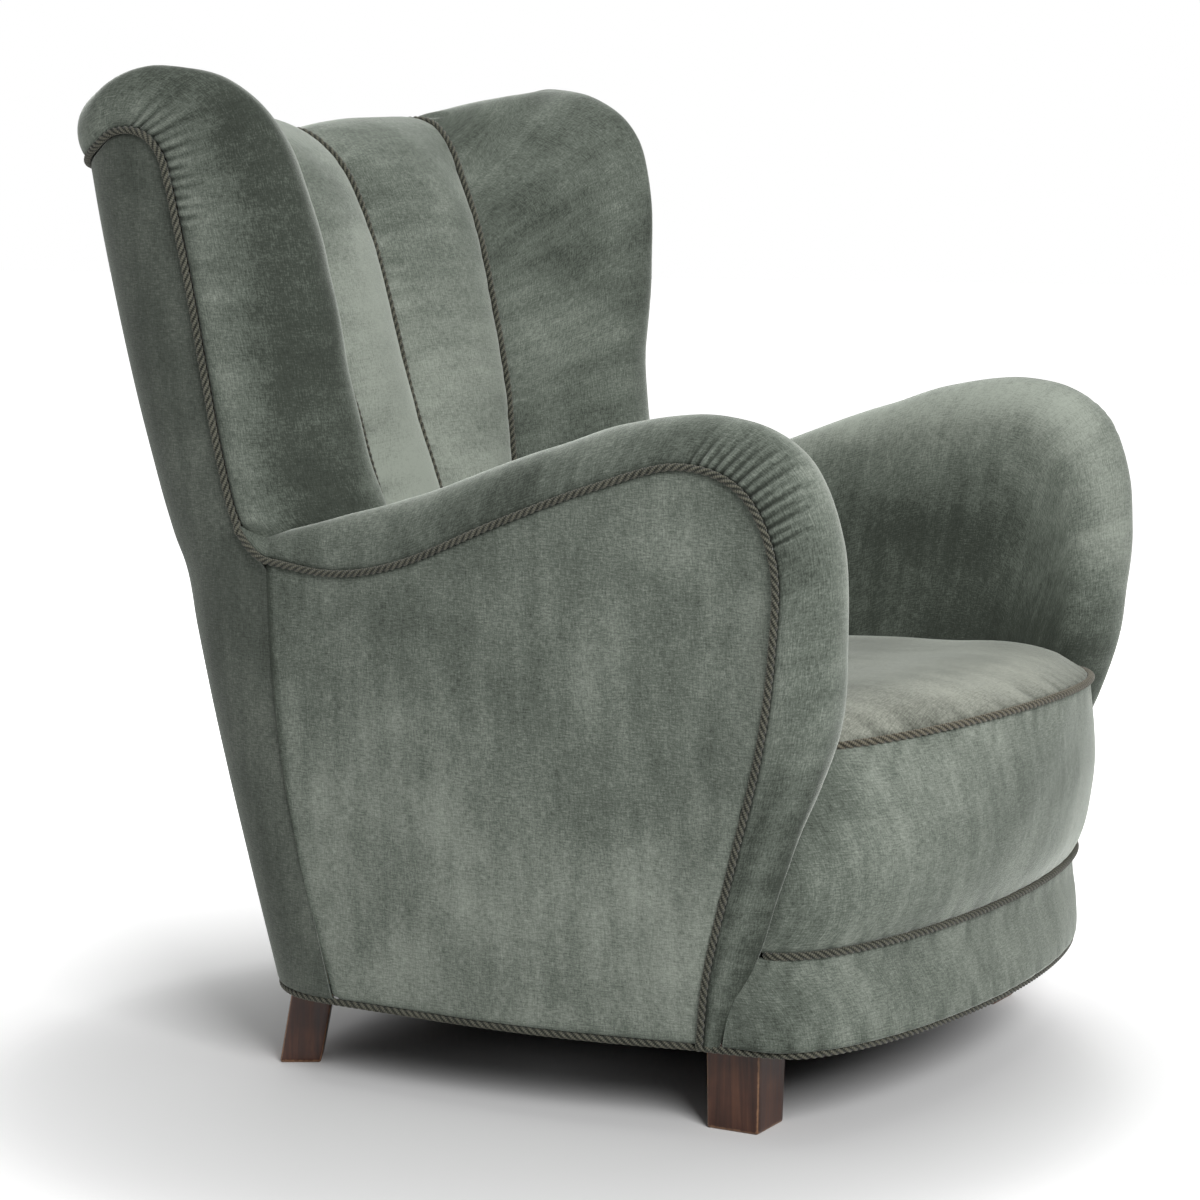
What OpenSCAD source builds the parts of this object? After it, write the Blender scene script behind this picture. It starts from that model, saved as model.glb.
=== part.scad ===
// High back lounge chair with a channelled wing back and rolled arms.
// The frame is wood, the seat is sprung, and the covers are velvet with rope cord in the seams.
// The front faces -Y, +Z is up, and the origin is under the middle of the chair.

/* [Overall] */
// Height of the wing tops above the floor
height = 980; // [900:5:1060]
// Width over the arms
width = 814; // [740:2:900]
// Depth from the seat front to the middle of the outer back
depth = 950; // [880:5:1020]
// Height of the arm rolls above the floor
arm_h = 664; // [620:2:700]
// Height of the seat cord at the middle of the front
seat_h = 378; // [355:1:400]
// Rise of the seat top above its cord
seat_crown = 26; // [14:1:36]

/* [Legs] */
// Height of the legs under the body
leg_h = 85; // [60:1:110]
// Side of a front leg at its top
leg_w = 56; // [46:1:60]
// Side of a front leg at the floor
leg_foot_w = 53; // [40:1:56]
// Side of a rear leg
rear_leg_w = 41; // [34:1:46]
// How far a rear leg rakes backward
rear_leg_rake = 16; // [0:1:24]
// Distance from the side of the chair to a front leg
leg_inset = 102.5; // [96:0.5:118]
// Distance from the front of the chair to the front face of the legs
leg_setback = 158; // [150:1:175]

/* [Upholstery] */
// Thickness of the padding on the arms
arm_pad_t = 22; // [14:1:26]
// Thickness of the padding on the wings
wing_pad_t = 32; // [22:1:38]
// Thickness of a back channel beside its seams
channel_t = 23; // [18:1:26]
// Rise of a back channel between its seams
channel_crown = 26; // [14:1:34]
// Thickness of an outside panel with its lining
panel_t = 7; // [4:0.5:9]
// Diameter of the rope cord
cord_d = 7.4; // [5:0.2:8]
// Height of the seam between the front band and the seat border
band_top_z = 178; // [165:1:195]

/* [Frame] */
// Thickness of the wooden rails and posts
rail_t = 26; // [20:1:28]
// Height of the seat rails
rail_h = 62; // [50:1:70]
// Wire of the seat springs
spring_wire = 3.6; // [3:0.1:4.4]
// Diameter of a seat spring at its ends
spring_d = 96; // [80:1:104]
// Diameter of a seat spring at its waist
spring_waist_d = 62; // [50:1:72]
// Thickness of the jute webbing
webbing_t = 2; // [1.5:0.1:3]
// Width of the jute webbing
webbing_w = 60; // [45:1:64]
// Diameter of the wooden dowels
dowel_d = 9; // [7:0.5:10]
// Length of a dowel
dowel_l = 48; // [36:1:54]
// Diameter of the leg bolts
bolt_d = 8; // [6:1:10]
// Diameter of the block screws
screw_d = 4.5; // [3.5:0.5:5.5]

/* [Hidden] */

half_w = width / 2;
body_h = height - leg_h;
arm_rise = arm_h - leg_h;
seat_rise = seat_h - leg_h;
// Clearance between pieces that only lie against each other
gap = 0.4;
cord_r = cord_d / 2;
cord_gap = cord_r + gap;
// Front of the seat; the cord there stands proud of it, and the chair is centred on its origin
front_y = -(depth - cord_gap - gap) / 2;
cord_sides = 8;
// How far a cutting shape runs past the piece it cuts
overrun = 1;
// Lining between a cover and what it is drawn over
lining_t = 6;
velvet = "#66756b";
velvet_dark = "#515e55";
rope = "#3f4636";
wood = "#4a261a";
beech = "#c8a271";
jute = "#a98e62";
steel = "#8b8d90";
dust_cloth = "#2a2826";
// Half turn in degrees, and a quarter of it
half_turn = 180;
quarter_turn = 90;

function mix(a, b, t) = a + (b - a) * t;
function unit(v) = v / norm(v);
function clamp01(t) = min(max(t, 0), 1);

// A smooth curve through evenly counted keys, for t from 0 to 1
function along(keys, t) =
    let (
        n = len(keys) - 1,
        s = clamp01(t) * n,
        i = min(floor(s), n - 1),
        f = s - i,
        b = keys[i],
        c = keys[i + 1],
        a = i > 0 ? keys[i - 1] : 2 * b - c,
        d = i < n - 1 ? keys[i + 2] : 2 * c - b
    )
    0.5 * (2 * b + (c - a) * f + (2 * a - 5 * b + 4 * c - d) * f * f + (3 * b - a - 3 * c + d) * f * f * f);

// Height of a share of the body: up to the join it follows the arms, above it the wings
join_share = 0.6;
join_rise_share = 0.9275;
function body_z(s) = s < join_share
    ? leg_h + arm_rise * join_rise_share * s / join_share
    : mix(leg_h + arm_rise * join_rise_share, height, (s - join_share) / (1 - join_share));

// Shares of half the width, of the depth from the front, and of the height above the legs
function body_point(s) = [half_w * s[0], front_y + depth * s[1], body_z(s[2])];
function arm_point(s) = [half_w * s[0], front_y + depth * s[1], leg_h + arm_rise * s[2]];

// A closed padded sheet between a grid of outside points and a grid of inside points
module padded_sheet(outside, inside) {
    rows = len(outside);
    cols = len(outside[0]);
    count = rows * cols;
    points = concat([for (row = outside) for (p = row) p], [for (row = inside) for (p = row) p]);
    function id(side, i, j) = side * count + i * cols + j;
    skins = [for (i = [0 : rows - 2]) for (j = [0 : cols - 2]) each [
        [id(0, i, j), id(0, i + 1, j), id(0, i + 1, j + 1)],
        [id(0, i, j), id(0, i + 1, j + 1), id(0, i, j + 1)],
        [id(1, i, j), id(1, i + 1, j + 1), id(1, i + 1, j)],
        [id(1, i, j), id(1, i, j + 1), id(1, i + 1, j + 1)]]];
    side_walls = [for (i = [0 : rows - 2]) each [
        [id(0, i, 0), id(1, i, 0), id(1, i + 1, 0)],
        [id(0, i, 0), id(1, i + 1, 0), id(0, i + 1, 0)],
        [id(0, i, cols - 1), id(1, i + 1, cols - 1), id(1, i, cols - 1)],
        [id(0, i, cols - 1), id(0, i + 1, cols - 1), id(1, i + 1, cols - 1)]]];
    end_walls = [for (j = [0 : cols - 2]) each [
        [id(0, 0, j), id(1, 0, j + 1), id(1, 0, j)],
        [id(0, 0, j), id(0, 0, j + 1), id(1, 0, j + 1)],
        [id(0, rows - 1, j), id(1, rows - 1, j), id(1, rows - 1, j + 1)],
        [id(0, rows - 1, j), id(1, rows - 1, j + 1), id(0, rows - 1, j + 1)]]];
    polyhedron(points, concat(skins, side_walls, end_walls), convexity = 10);
}

// A round cord swept along a list of points; a closed one joins its ends.
// Its side direction is carried from ring to ring, so that the tube doesn't twist.
module cord_tube(path, closed = false, start_side = [0, 0, 1]) {
    n = len(path);
    function ahead(i) = closed
        ? unit(path[(i + 1) % n] - path[(i + n - 1) % n])
        : unit(path[min(i + 1, n - 1)] - path[max(i - 1, 0)]);
    function square_to(v, i) = unit(v - (v * ahead(i)) * ahead(i));
    sides = [for (i = 0, side = square_to(start_side, 0); i < n;
        i = i + 1, side = square_to(side, min(i, n - 1))) side];
    points = [for (i = [0 : n - 1]) for (k = [0 : cord_sides - 1])
        let (
            turn = k * 2 * half_turn / cord_sides,
            up = cross(ahead(i), sides[i])
        )
        path[i] + cord_r * (cos(turn) * sides[i] + sin(turn) * up)];
    spans = closed ? n : n - 1;
    walls = [for (i = [0 : spans - 1]) for (k = [0 : cord_sides - 1])
        let (
            a = i * cord_sides + k,
            b = i * cord_sides + (k + 1) % cord_sides,
            c = ((i + 1) % n) * cord_sides + k,
            d = ((i + 1) % n) * cord_sides + (k + 1) % cord_sides
        )
        each [[a, c, d], [a, d, b]]];
    caps = closed ? [] : [
        [for (k = [0 : cord_sides - 1]) k],
        [for (k = [0 : cord_sides - 1]) (n - 1) * cord_sides + cord_sides - 1 - k]];
    polyhedron(points, concat(walls, caps), convexity = 10);
}

// Outer back: at each height share, half its width, the place of its side edge,
// the place of its middle, and how square its corners are
back_width_shares = [[0, 0.902], [0.13, 0.907], [0.26, 0.915], [0.39, 0.924], [0.465, 0.93],
    [0.515, 0.917], [0.58, 0.922], [0.665, 0.931], [0.765, 0.94], [0.87, 0.947], [0.93, 0.946]];
back_edge_shares = [[0, 0.619], [0.13, 0.648], [0.26, 0.669], [0.39, 0.681], [0.465, 0.686],
    [0.487, 0.706], [0.515, 0.723], [0.58, 0.741], [0.665, 0.755], [0.765, 0.771], [0.87, 0.791],
    [0.93, 0.803]];
back_middle_shares = [[0, 0.784], [0.13, 0.818], [0.26, 0.85], [0.39, 0.881], [0.515, 0.911],
    [0.64, 0.944], [0.765, 0.972], [0.89, 0.994], [0.93, 1]];
back_square_shares = [[0, 2.5], [0.46, 2.8], [0.75, 3], [0.93, 3]];
// Height share of the cover's top at each angle round from its side to its middle
back_top_shares = [[0, 0.895], [0.5, 0.914], [3.5, 0.931], [10.5, 0.93], [21, 0.914], [35, 0.901],
    [51, 0.895], [66, 0.893], [90, 0.891]];

// A point of the outer back, by angle round and height share, drawn in by an inset
function back_point(angle, share, inset = 0) =
    let (
        a = half_w * lookup(share, back_width_shares) - inset,
        edge = front_y + depth * lookup(share, back_edge_shares),
        b = front_y + depth * lookup(share, back_middle_shares) - edge - inset,
        power = 2 / lookup(share, back_square_shares)
    )
    [a * pow(max(cos(angle), 0), power), edge + b * pow(max(sin(angle), 0), power), body_z(share)];

// Arm roll: outer cord, ridge, inner edge, and where the cover tucks in beside the seat,
// from the wing to the foot
arm_cord_shares = [[0.937, 0.683, 0.737], [0.956, 0.595, 0.725], [0.976, 0.509, 0.751],
    [0.988, 0.395, 0.826], [0.993, 0.289, 0.889], [0.99, 0.2, 0.926], [0.983, 0.137, 0.891],
    [0.978, 0.105, 0.786], [0.973, 0.107, 0.648], [0.944, 0.126, 0.492], [0.902, 0.162, 0.311],
    [0.863, 0.197, 0.13], [0.834, 0.212, 0.012]];
arm_ridge_shares = [[0.859, 0.695, 0.777], [0.873, 0.607, 0.812], [0.883, 0.496, 0.864],
    [0.885, 0.389, 0.927], [0.885, 0.279, 0.981], [0.883, 0.179, 1], [0.878, 0.098, 0.948],
    [0.871, 0.062, 0.82], [0.866, 0.06, 0.665], [0.854, 0.073, 0.501], [0.844, 0.116, 0.316],
    [0.832, 0.157, 0.13], [0.824, 0.195, 0.012]];
arm_inner_shares = [[0.771, 0.689, 0.713], [0.768, 0.6, 0.725], [0.766, 0.5, 0.76],
    [0.768, 0.395, 0.829], [0.768, 0.292, 0.889], [0.766, 0.207, 0.914], [0.759, 0.144, 0.876],
    [0.746, 0.115, 0.777], [0.732, 0.108, 0.648], [0.72, 0.111, 0.501], [0.804, 0.14, 0.311],
    [0.822, 0.165, 0.13], [0.82, 0.203, 0.012]];
arm_tuck_shares = [[0.693, 0.637, 0.432], [0.695, 0.574, 0.427], [0.698, 0.5, 0.423],
    [0.7, 0.416, 0.423], [0.702, 0.332, 0.423], [0.705, 0.258, 0.423], [0.705, 0.205, 0.423],
    [0.707, 0.174, 0.423], [0.707, 0.158, 0.415], [0.71, 0.147, 0.402], [0.797, 0.163, 0.306],
    [0.816, 0.18, 0.13], [0.818, 0.216, 0.012]];
// Tail of the arm roll, behind its first section, where it narrows into the corner under the wing
arm_tail_shares = [
    [[0.912, 0.7165, 0.773], [0.893, 0.7185, 0.783], [0.868, 0.7165, 0.776], [0.745, 0.695, 0.7]],
    [[0.93, 0.704, 0.755], [0.873, 0.711, 0.778], [0.8, 0.703, 0.75], [0.705, 0.655, 0.45]]];
arm_tail_cord_shares = [[0.921, 0.7225, 0.787], [0.932, 0.704, 0.757]];
// Foot of the outside arm panel, from the side seam to the front
arm_foot_shares = [[0.9, 0.616], [0.903, 0.542], [0.907, 0.468], [0.905, 0.415], [0.898, 0.368],
    [0.888, 0.332], [0.878, 0.305], [0.868, 0.282], [0.859, 0.26], [0.851, 0.245], [0.845, 0.232],
    [0.84, 0.222], [0.836, 0.214]];
// How far along the arm cord the outside panel reaches
panel_end_share = 0.96;

// Wing ridge above the arm, and the angle and height share of the outer cord beside it
wing_ridge_shares = [[0.659, 0.624, 0.525], [0.678, 0.641, 0.588], [0.717, 0.653, 0.665],
    [0.785, 0.655, 0.765], [0.854, 0.671, 0.888], [0.876, 0.702, 0.953], [0.883, 0.751, 0.989],
    [0.88, 0.814, 1], [0.82, 0.842, 0.991], [0.732, 0.858, 0.98],
    [0.629, 0.871, 0.969], [0.541, 0.884, 0.962]];
wing_cord_keys = [[0, 0.513], [0, 0.585], [0, 0.665], [0, 0.765], [0, 0.868], [0.5, 0.914], [3.5, 0.931],
    [10.5, 0.93], [21, 0.914], [35, 0.901], [51, 0.895], [65, 0.893]];
// How far along the side seam each ridge key's row of the wing ends
wing_seam_shares = [0.175, 0.24, 0.32, 0.385, 0.455, 0.5, 0.54, 0.58, 0.625, 0.665, 0.705, 0.745];
// The hidden foot of the wing, inside the arm: outer edge, front edge and seam
wing_foot_edge_shares = [[0.7, 0.66, 0.321], [0.738, 0.68, 0.419], [0.768, 0.7, 0.49]];
wing_foot_front_shares = [[0.66, 0.597, 0.321], [0.652, 0.61, 0.419], [0.655, 0.62, 0.49]];
wing_foot_seam_shares = [0, 0.083, 0.15];

// Back channels: middle seam, side seam, and the lean of the surface in degrees
middle_seam_shares = [[0, 0.679, 0.321], [0, 0.708, 0.419], [0, 0.739, 0.517], [0, 0.759, 0.575],
    [0, 0.778, 0.634], [0, 0.8, 0.721], [0, 0.826, 0.81], [0, 0.854, 0.879], [0, 0.883, 0.917],
    [0, 0.917, 0.939], [0, 0.953, 0.934], [0, 0.978, 0.915], [0, 0.99, 0.898]];
side_seam_shares = [[0.254, 0.677, 0.321], [0.285, 0.7, 0.419], [0.322, 0.723, 0.508],
    [0.349, 0.736, 0.572], [0.371, 0.747, 0.631], [0.415, 0.776, 0.726], [0.449, 0.804, 0.812],
    [0.476, 0.832, 0.875], [0.498, 0.856, 0.925], [0.517, 0.887, 0.955], [0.517, 0.93, 0.955],
    [0.517, 0.963, 0.93], [0.517, 0.98, 0.902]];
channel_leans = [10, 11, 12, 14, 15, 18, 22, 36, 60, 90, 125, 150, 165];
// Crown left at each place along a channel
channel_crown_shares = [[0, 1], [0.55, 1], [0.66, 0.7], [0.75, 0.35], [0.85, 0.4], [1, 0.2]];

// A quarter roll from its cord to its ridge; the lateral direction is square to the roll's plane
function quarter_roll(c, r, lateral, a) =
    let (
        across = ((c - r) * lateral) * lateral,
        along_plane = (c - r) - across
    )
    r + across * cos(a) + along_plane * (1 - sin(a));
// The roll's own plane: how far the cord lies below the ridge, and the direction down to it
function roll_drop(c, r, lateral) = (c - r) - ((c - r) * lateral) * lateral;
function inward(c, r, lateral) = unit(roll_drop(c, r, lateral));
// Angle round the roll at which the cover leaves the cord
function first_angle(c, r, lateral) = asin(min((cord_gap + gap) / norm(roll_drop(c, r, lateral)), 0.5));
function bend(p, q, s, t) = (1 - t) * (1 - t) * p + 2 * t * (1 - t) * q + t * t * s;

roll_steps = 5;
face_steps = 4;

// Arm pad: a sheet from the outer cord over the roll and down beside the seat
arm_rows = 24;
function arm_section(t, thick) = arm_skin(arm_point(along(arm_cord_shares, t)),
    arm_point(along(arm_ridge_shares, t)), arm_point(along(arm_inner_shares, t)),
    arm_point(along(arm_tuck_shares, t)), thick);
function arm_tail(i, thick) = let (s = arm_tail_shares[i])
    arm_skin(arm_point(s[0]), arm_point(s[1]), arm_point(s[2]), arm_point(s[3]), thick);
function arm_skin(c, r, e, k, thick) =
    let (
        side = [1, 0, 0],
        drop = inward(c, r, side),
        d = min(thick, (c[0] - e[0]) / 3),
        c1 = c - d * side,
        r1 = r + d * drop,
        e1 = e + d / 2 * side,
        k1 = k + d / 2 * side,
        a0 = first_angle(c, r, side)
    )
    concat(
        [for (i = [0 : roll_steps]) quarter_roll(c1, r1, side, mix(a0, quarter_turn, i / roll_steps))],
        [for (i = [1 : roll_steps]) quarter_roll(e1, r1, side, quarter_turn * (1 - i / roll_steps))],
        [for (i = [1 : 2]) mix(e1, k1, i / 2)]);
module arm_pad() {
    ts = [for (i = [0 : arm_rows]) i / arm_rows];
    color(velvet)
    padded_sheet(concat([for (i = [0, 1]) arm_tail(i, 0)], [for (t = ts) arm_section(t, 0)]),
        concat([for (i = [0, 1]) arm_tail(i, arm_pad_t)], [for (t = ts) arm_section(t, arm_pad_t)]));
}

// Outside arm panel: from the cord down to the base
panel_rows = 20;
panel_steps = 5;
panel_bulge = 5;
function panel_top(t, d) =
    let (
        c = arm_point(along(arm_cord_shares, t)),
        r = arm_point(along(arm_ridge_shares, t))
    )
    c + (cord_gap + 2 * gap) * inward(c, r, [1, 0, 0]) - [d, 0, 0];
function panel_foot(t, d) =
    let (s = along(arm_foot_shares, t))
    [half_w * s[0] - d, front_y + depth * s[1], leg_h + cord_gap];
function panel_column(t, d) =
    let (
        a = panel_top(t, d),
        b = panel_foot(t, d),
        seam = 3 * panel_bulge * pow(1 - t, 4)
    )
    [for (i = [0 : panel_steps])
        let (v = i / panel_steps, swell = sin(half_turn * v))
        mix(a, b, v) + [panel_bulge * (1 - t), seam, 0] * swell];
module arm_panel() {
    ts = [for (i = [0 : panel_rows]) panel_end_share * i / panel_rows];
    color(velvet)
    padded_sheet([for (t = ts) panel_column(t, panel_t)], [for (t = ts) panel_column(t, 0)]);
}

// Wing pad: a sheet from the outer cord over the wing's edge and across to the side seam
wing_rows = 22;
inner_w = 52;
function wing_lateral(angle) = [cos(min(angle * 1.5, quarter_turn)), sin(min(angle * 1.5, quarter_turn)), 0];
function wing_section(c, r, s, side, d) =
    let (
        drop = inward(c, r, side),
        c1 = c - d * side,
        r1 = r + d * drop,
        reach = min(inner_w, norm(r - s) / 2),
        q1 = r1 - (reach - d / 2) * side,
        s1 = s + [cord_gap, d, -d / 6],
        a0 = first_angle(c, r, side)
    )
    concat(
        [for (i = [0 : roll_steps]) quarter_roll(c1, r1, side, mix(a0, quarter_turn, i / roll_steps))],
        [for (i = [1 : face_steps + 1]) bend(r1, q1, s1, i / (face_steps + 1))]);
function wing_row(t, d) =
    let (
        key = along(wing_cord_keys, t),
        angle = max(key[0], 0)
    )
    wing_section(back_point(angle, key[1]), body_point(along(wing_ridge_shares, t)),
        body_point(along(side_seam_shares, along(wing_seam_shares, t))), wing_lateral(angle), d);
function wing_foot_row(i, d) = wing_section(body_point(wing_foot_edge_shares[i]),
    body_point(wing_foot_front_shares[i]), body_point(along(side_seam_shares, wing_foot_seam_shares[i])),
    [1, 0, 0], d);
module wing_pad() {
    ts = [for (i = [0 : wing_rows]) i / wing_rows];
    outside = concat([for (i = [0 : 2]) wing_foot_row(i, 0)], [for (t = ts) wing_row(t, 0)]);
    inside = concat([for (i = [0 : 2]) wing_foot_row(i, wing_pad_t)], [for (t = ts) wing_row(t, wing_pad_t)]);
    color(velvet)
    padded_sheet(inside, outside);
}

// Back channel: a sheet crowned between two seams, over the crest to the outer back
channel_rows = 20;
channel_steps = 8;
function channel_row(t, d) =
    let (
        m = body_point(along(middle_seam_shares, t)),
        s = body_point(along(side_seam_shares, t)),
        lean = along(channel_leans, t),
        out = [0, -cos(lean), sin(lean)],
        crown = d > 0 ? 0 : channel_crown * lookup(t, channel_crown_shares)
    )
    [for (i = [0 : channel_steps])
        let (v = i / channel_steps)
        mix(m + [cord_gap, 0, 0], s - [cord_gap, 0, 0], v)
            + out * (crown * pow(max(sin(half_turn * v), 0), 0.7) - d)];
module back_channel() {
    ts = [for (i = [0 : channel_rows]) i / channel_rows];
    color(velvet)
    padded_sheet([for (t = ts) channel_row(t, 0)], [for (t = ts) channel_row(t, channel_t)]);
}

// Outer back cover: a thin curved shell from one side edge to the other
cover_angles = [0, 2, 6, 13, 22, 33, 46, 60, 75, 90];
cover_rows = 14;
// How much of the cord's room the cover's edge leaves at each height: none along the plain side seam
edge_room_shares = [[0, 0], [0.43, 0], [0.48, 1], [1, 1]];
function cover_column(angle, mirrored, d) =
    let (
        top = lookup(angle, back_top_shares) - 1.5 * cord_gap / body_h,
        foot = cord_gap / body_h
    )
    [for (i = [0 : cover_rows])
        let (
            share = mix(foot, top, i / cover_rows),
            room = mix(gap, 1.5 * cord_gap, lookup(share, edge_room_shares)),
            p = back_point(angle, share, d) + [0, room, 0]
        )
        mirrored ? [-p[0], p[1], p[2]] : p];
module outer_back_cover() {
    last = len(cover_angles) - 1;
    function grid(d) = concat(
        [for (i = [0 : last]) cover_column(cover_angles[i], false, d)],
        [for (i = [1 : last]) cover_column(cover_angles[last - i], true, d)]);
    color(velvet_dark)
    padded_sheet(grid(panel_t), grid(0));
}

// Seat front: a bow whose middle and depth change with the height
bow_w = half_w * 0.834;
bow_front_shares = [[0, 0.038], [0.317, 0.046], [0.39, 0.031], [0.563, 0.014], [0.8, 0.003], [1, 0]];
bow_depth_shares = [[0, 0.113], [0.317, 0.105], [0.625, 0.126], [0.8, 0.158], [1, 0.22]];
bow_end_shares = [[0, 0.99], [0.317, 0.989], [0.625, 0.972], [0.8, 0.92], [1, 0.854]];
bow_return_shares = [[0, 0.055], [0.1, 0.0455], [0.2, 0.03], [0.3, 0.017], [0.34, 0.0172], [0.4, 0.023],
    [0.5, 0.0215], [0.6, 0.0178], [0.7, 0.0152], [0.8, 0.0125], [0.9, 0.0088], [1, 0.0088]];
// How far a bow runs on past its end, as a share of its half
bow_past_share = 0.12;
bow_reach_share = 1 + bow_past_share;
function bow_y(x, share) = front_y + depth * lookup(share, bow_front_shares)
    + depth * lookup(share, bow_depth_shares) * (1 - sqrt(max(1 - pow(x / bow_w, 2), 0)));
// A point of the bow, for s from -1 to 1; past the ends it runs straight back to the arm
function bow_point(s, share, inset = 0) =
    let (
        x = min(max(s, -1), 1) * (bow_w * lookup(share, bow_end_shares) - inset),
        back = max(abs(s) - 1, 0) / bow_past_share * depth * lookup(share, bow_return_shares)
    )
    [x, bow_y(x, share) + inset * cos(quarter_turn * pow(abs(x) / bow_w, 8)) + back,
        leg_h + seat_rise * share];

border_steps = 22;
border_rows = 5;
band_share = (band_top_z - leg_h) / seat_rise;
seat_dip = 14;
function seat_cord_point(s) = bow_point(s, 1) - [0, 0, seat_dip * min(s * s, 1)];
function border_column(s, d) =
    [for (i = [0 : border_rows])
        let (
            low = leg_h + seat_rise * band_share + cord_gap,
            high = seat_cord_point(s)[2] - cord_gap,
            z = mix(low, high, i / border_rows)
        )
        bow_point(s, (z - leg_h) / seat_rise, d)];
module seat_border() {
    ss = [for (i = [0 : border_steps]) bow_reach_share * (1 - 2 * i / border_steps)];
    color(velvet)
    padded_sheet([for (s = ss) border_column(s, 0)], [for (s = ss) border_column(s, panel_t - 2 * gap)]);
}
function band_column(s, d) =
    [for (i = [0 : 2]) bow_point(s, mix(cord_gap / seat_rise, band_share - cord_gap / seat_rise, i / 2), d)];
module front_band() {
    ss = [for (i = [0 : border_steps]) bow_reach_share * (1 - 2 * i / border_steps)];
    color(velvet)
    padded_sheet([for (s = ss) band_column(s, 0)], [for (s = ss) band_column(s, panel_t)]);
}

// Seat pad: crowned on top, drawn in at its sides, flat where it lies on the springs
seat_cols = 18;
seat_profile_shares = [0, 0.5, 0.8, 0.95, 1, 0.99, 0.94, 0.85, 0.72, 0.54, 0.24, -0.36, -0.6];
seat_side_w = half_w * 0.703;
seat_back_y = front_y + depth * 0.7;
seat_back_bow = depth * 0.035;
deck_z = leg_h + seat_rise * 0.735;
function seat_top_point(s, v) =
    let (
        edge = seat_cord_point(s) + [0, cord_gap, 0],
        x = mix(edge[0], s * seat_side_w, min(v * 8, 1)),
        y = mix(edge[1], seat_back_y - seat_back_bow * s * s, v),
        side = 1 - 0.55 * pow(abs(s), 8)
    )
    [x, y, edge[2] + 3 * gap + seat_crown * along(seat_profile_shares, v) * side];
seat_inset = 34;
function seat_bottom_point(s, v) =
    let (p = seat_top_point(s, v))
    [p[0] * 0.96, mix(p[1] + seat_inset, p[1] - 2 * gap, min(v * 2, 1)), deck_z];
module seat_pad() {
    rows = len(seat_profile_shares) - 1;
    ss = [for (i = [0 : seat_cols]) 1 - 2 * i / seat_cols];
    color(velvet)
    padded_sheet([for (s = ss) [for (j = [0 : rows]) seat_top_point(s, j / rows)]],
        [for (s = ss) [for (j = [0 : rows]) seat_bottom_point(s, j / rows)]]);
}

// Wooden legs
frame_z = leg_h + lining_t;
leg_x = half_w - leg_inset - leg_w / 2;
leg_y = front_y + leg_setback + leg_w / 2;
rear_leg_x = half_w * 0.672;
rear_leg_y = front_y + depth * 0.705;
rear_leg_turn = 30;
rear_leg_taper = 1;
bolt_l = 76;
bolt_sunk = 38;
function square_ring(w, z, shift) = [for (c = [[-1, -1], [1, -1], [1, 1], [-1, 1]])
    [c[0] * w / 2 + shift[0], c[1] * w / 2 + shift[1], z]];
module leg_block(top_w, foot_w, shift) {
    polyhedron(concat(square_ring(foot_w, 0, shift), square_ring(top_w, frame_z - gap, [0, 0])), [
        [0, 1, 2, 3], [7, 6, 5, 4], [0, 4, 5, 1], [1, 5, 6, 2], [2, 6, 7, 3], [3, 7, 4, 0]]);
}
module bolt_hole(d, low) translate([0, 0, frame_z - low]) cylinder(h = low + overrun, d = d, $fn = 32);
module front_leg() {
    color(wood)
    translate([leg_x, leg_y, 0])
    difference() {
        leg_block(leg_w, leg_foot_w, [(leg_w - leg_foot_w) / 2, 0]);
        bolt_hole(bolt_d + gap, bolt_sunk + gap);
    }
}
module rear_leg() {
    color(wood)
    translate([rear_leg_x, rear_leg_y, 0])
    rotate([0, 0, -rear_leg_turn])
    difference() {
        leg_block(rear_leg_w + rear_leg_taper, rear_leg_w, [rear_leg_rake / 2, rear_leg_rake]);
        bolt_hole(bolt_d + gap, bolt_sunk + gap);
    }
}
module leg_bolts() {
    color(steel)
    for (side = [-1, 1]) {
        for (at = [[leg_x, leg_y], [rear_leg_x, rear_leg_y]])
            translate([side * at[0], at[1], frame_z - bolt_sunk])
            cylinder(h = bolt_l, d = bolt_d, $fn = 32);
    }
}
module bolt_bores() {
    for (side = [-1, 1]) {
        for (at = [[leg_x, leg_y], [rear_leg_x, rear_leg_y]])
            translate([side * at[0], at[1], frame_z - bolt_sunk - gap])
            cylinder(h = bolt_l + 2 * gap, d = bolt_d + gap, $fn = 32);
    }
}

// Wooden frame
post_w = 40;
post_depth = 42;
post_foot_x = half_w * 0.674;
post_top_x = half_w * 0.862;
post_y = leg_y + leg_w / 2 + gap;
back_post_t = rail_t;
back_post_x = half_w * 0.737;
back_post_depth = 45;
side_rail_x = back_post_x;
arm_rail_x = back_post_x + back_post_t + gap;
arm_rail_w = half_w * 0.095;
arm_rail_h = 32;
arm_stuffing_t = 30;
arm_rail_drop = arm_pad_t + arm_stuffing_t;
// How far the arm rail runs past its post
arm_rail_nose = 12;
dowel_r = dowel_d / 2;
lower_rail_z = body_z(0.275);
lower_rail_h = 46;
top_rail_share = 0.795;
top_rail_h = 50;
// How far the top rail lies in from the outer back's lining
top_rail_inset = 9;
block_h = 42;
rear_block_w = 62;
rear_block_cut = 20;
screw_l = 46;
// Wood left beside a screw
screw_margin = 12;
front_rail_x = half_w * 0.748;

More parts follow.
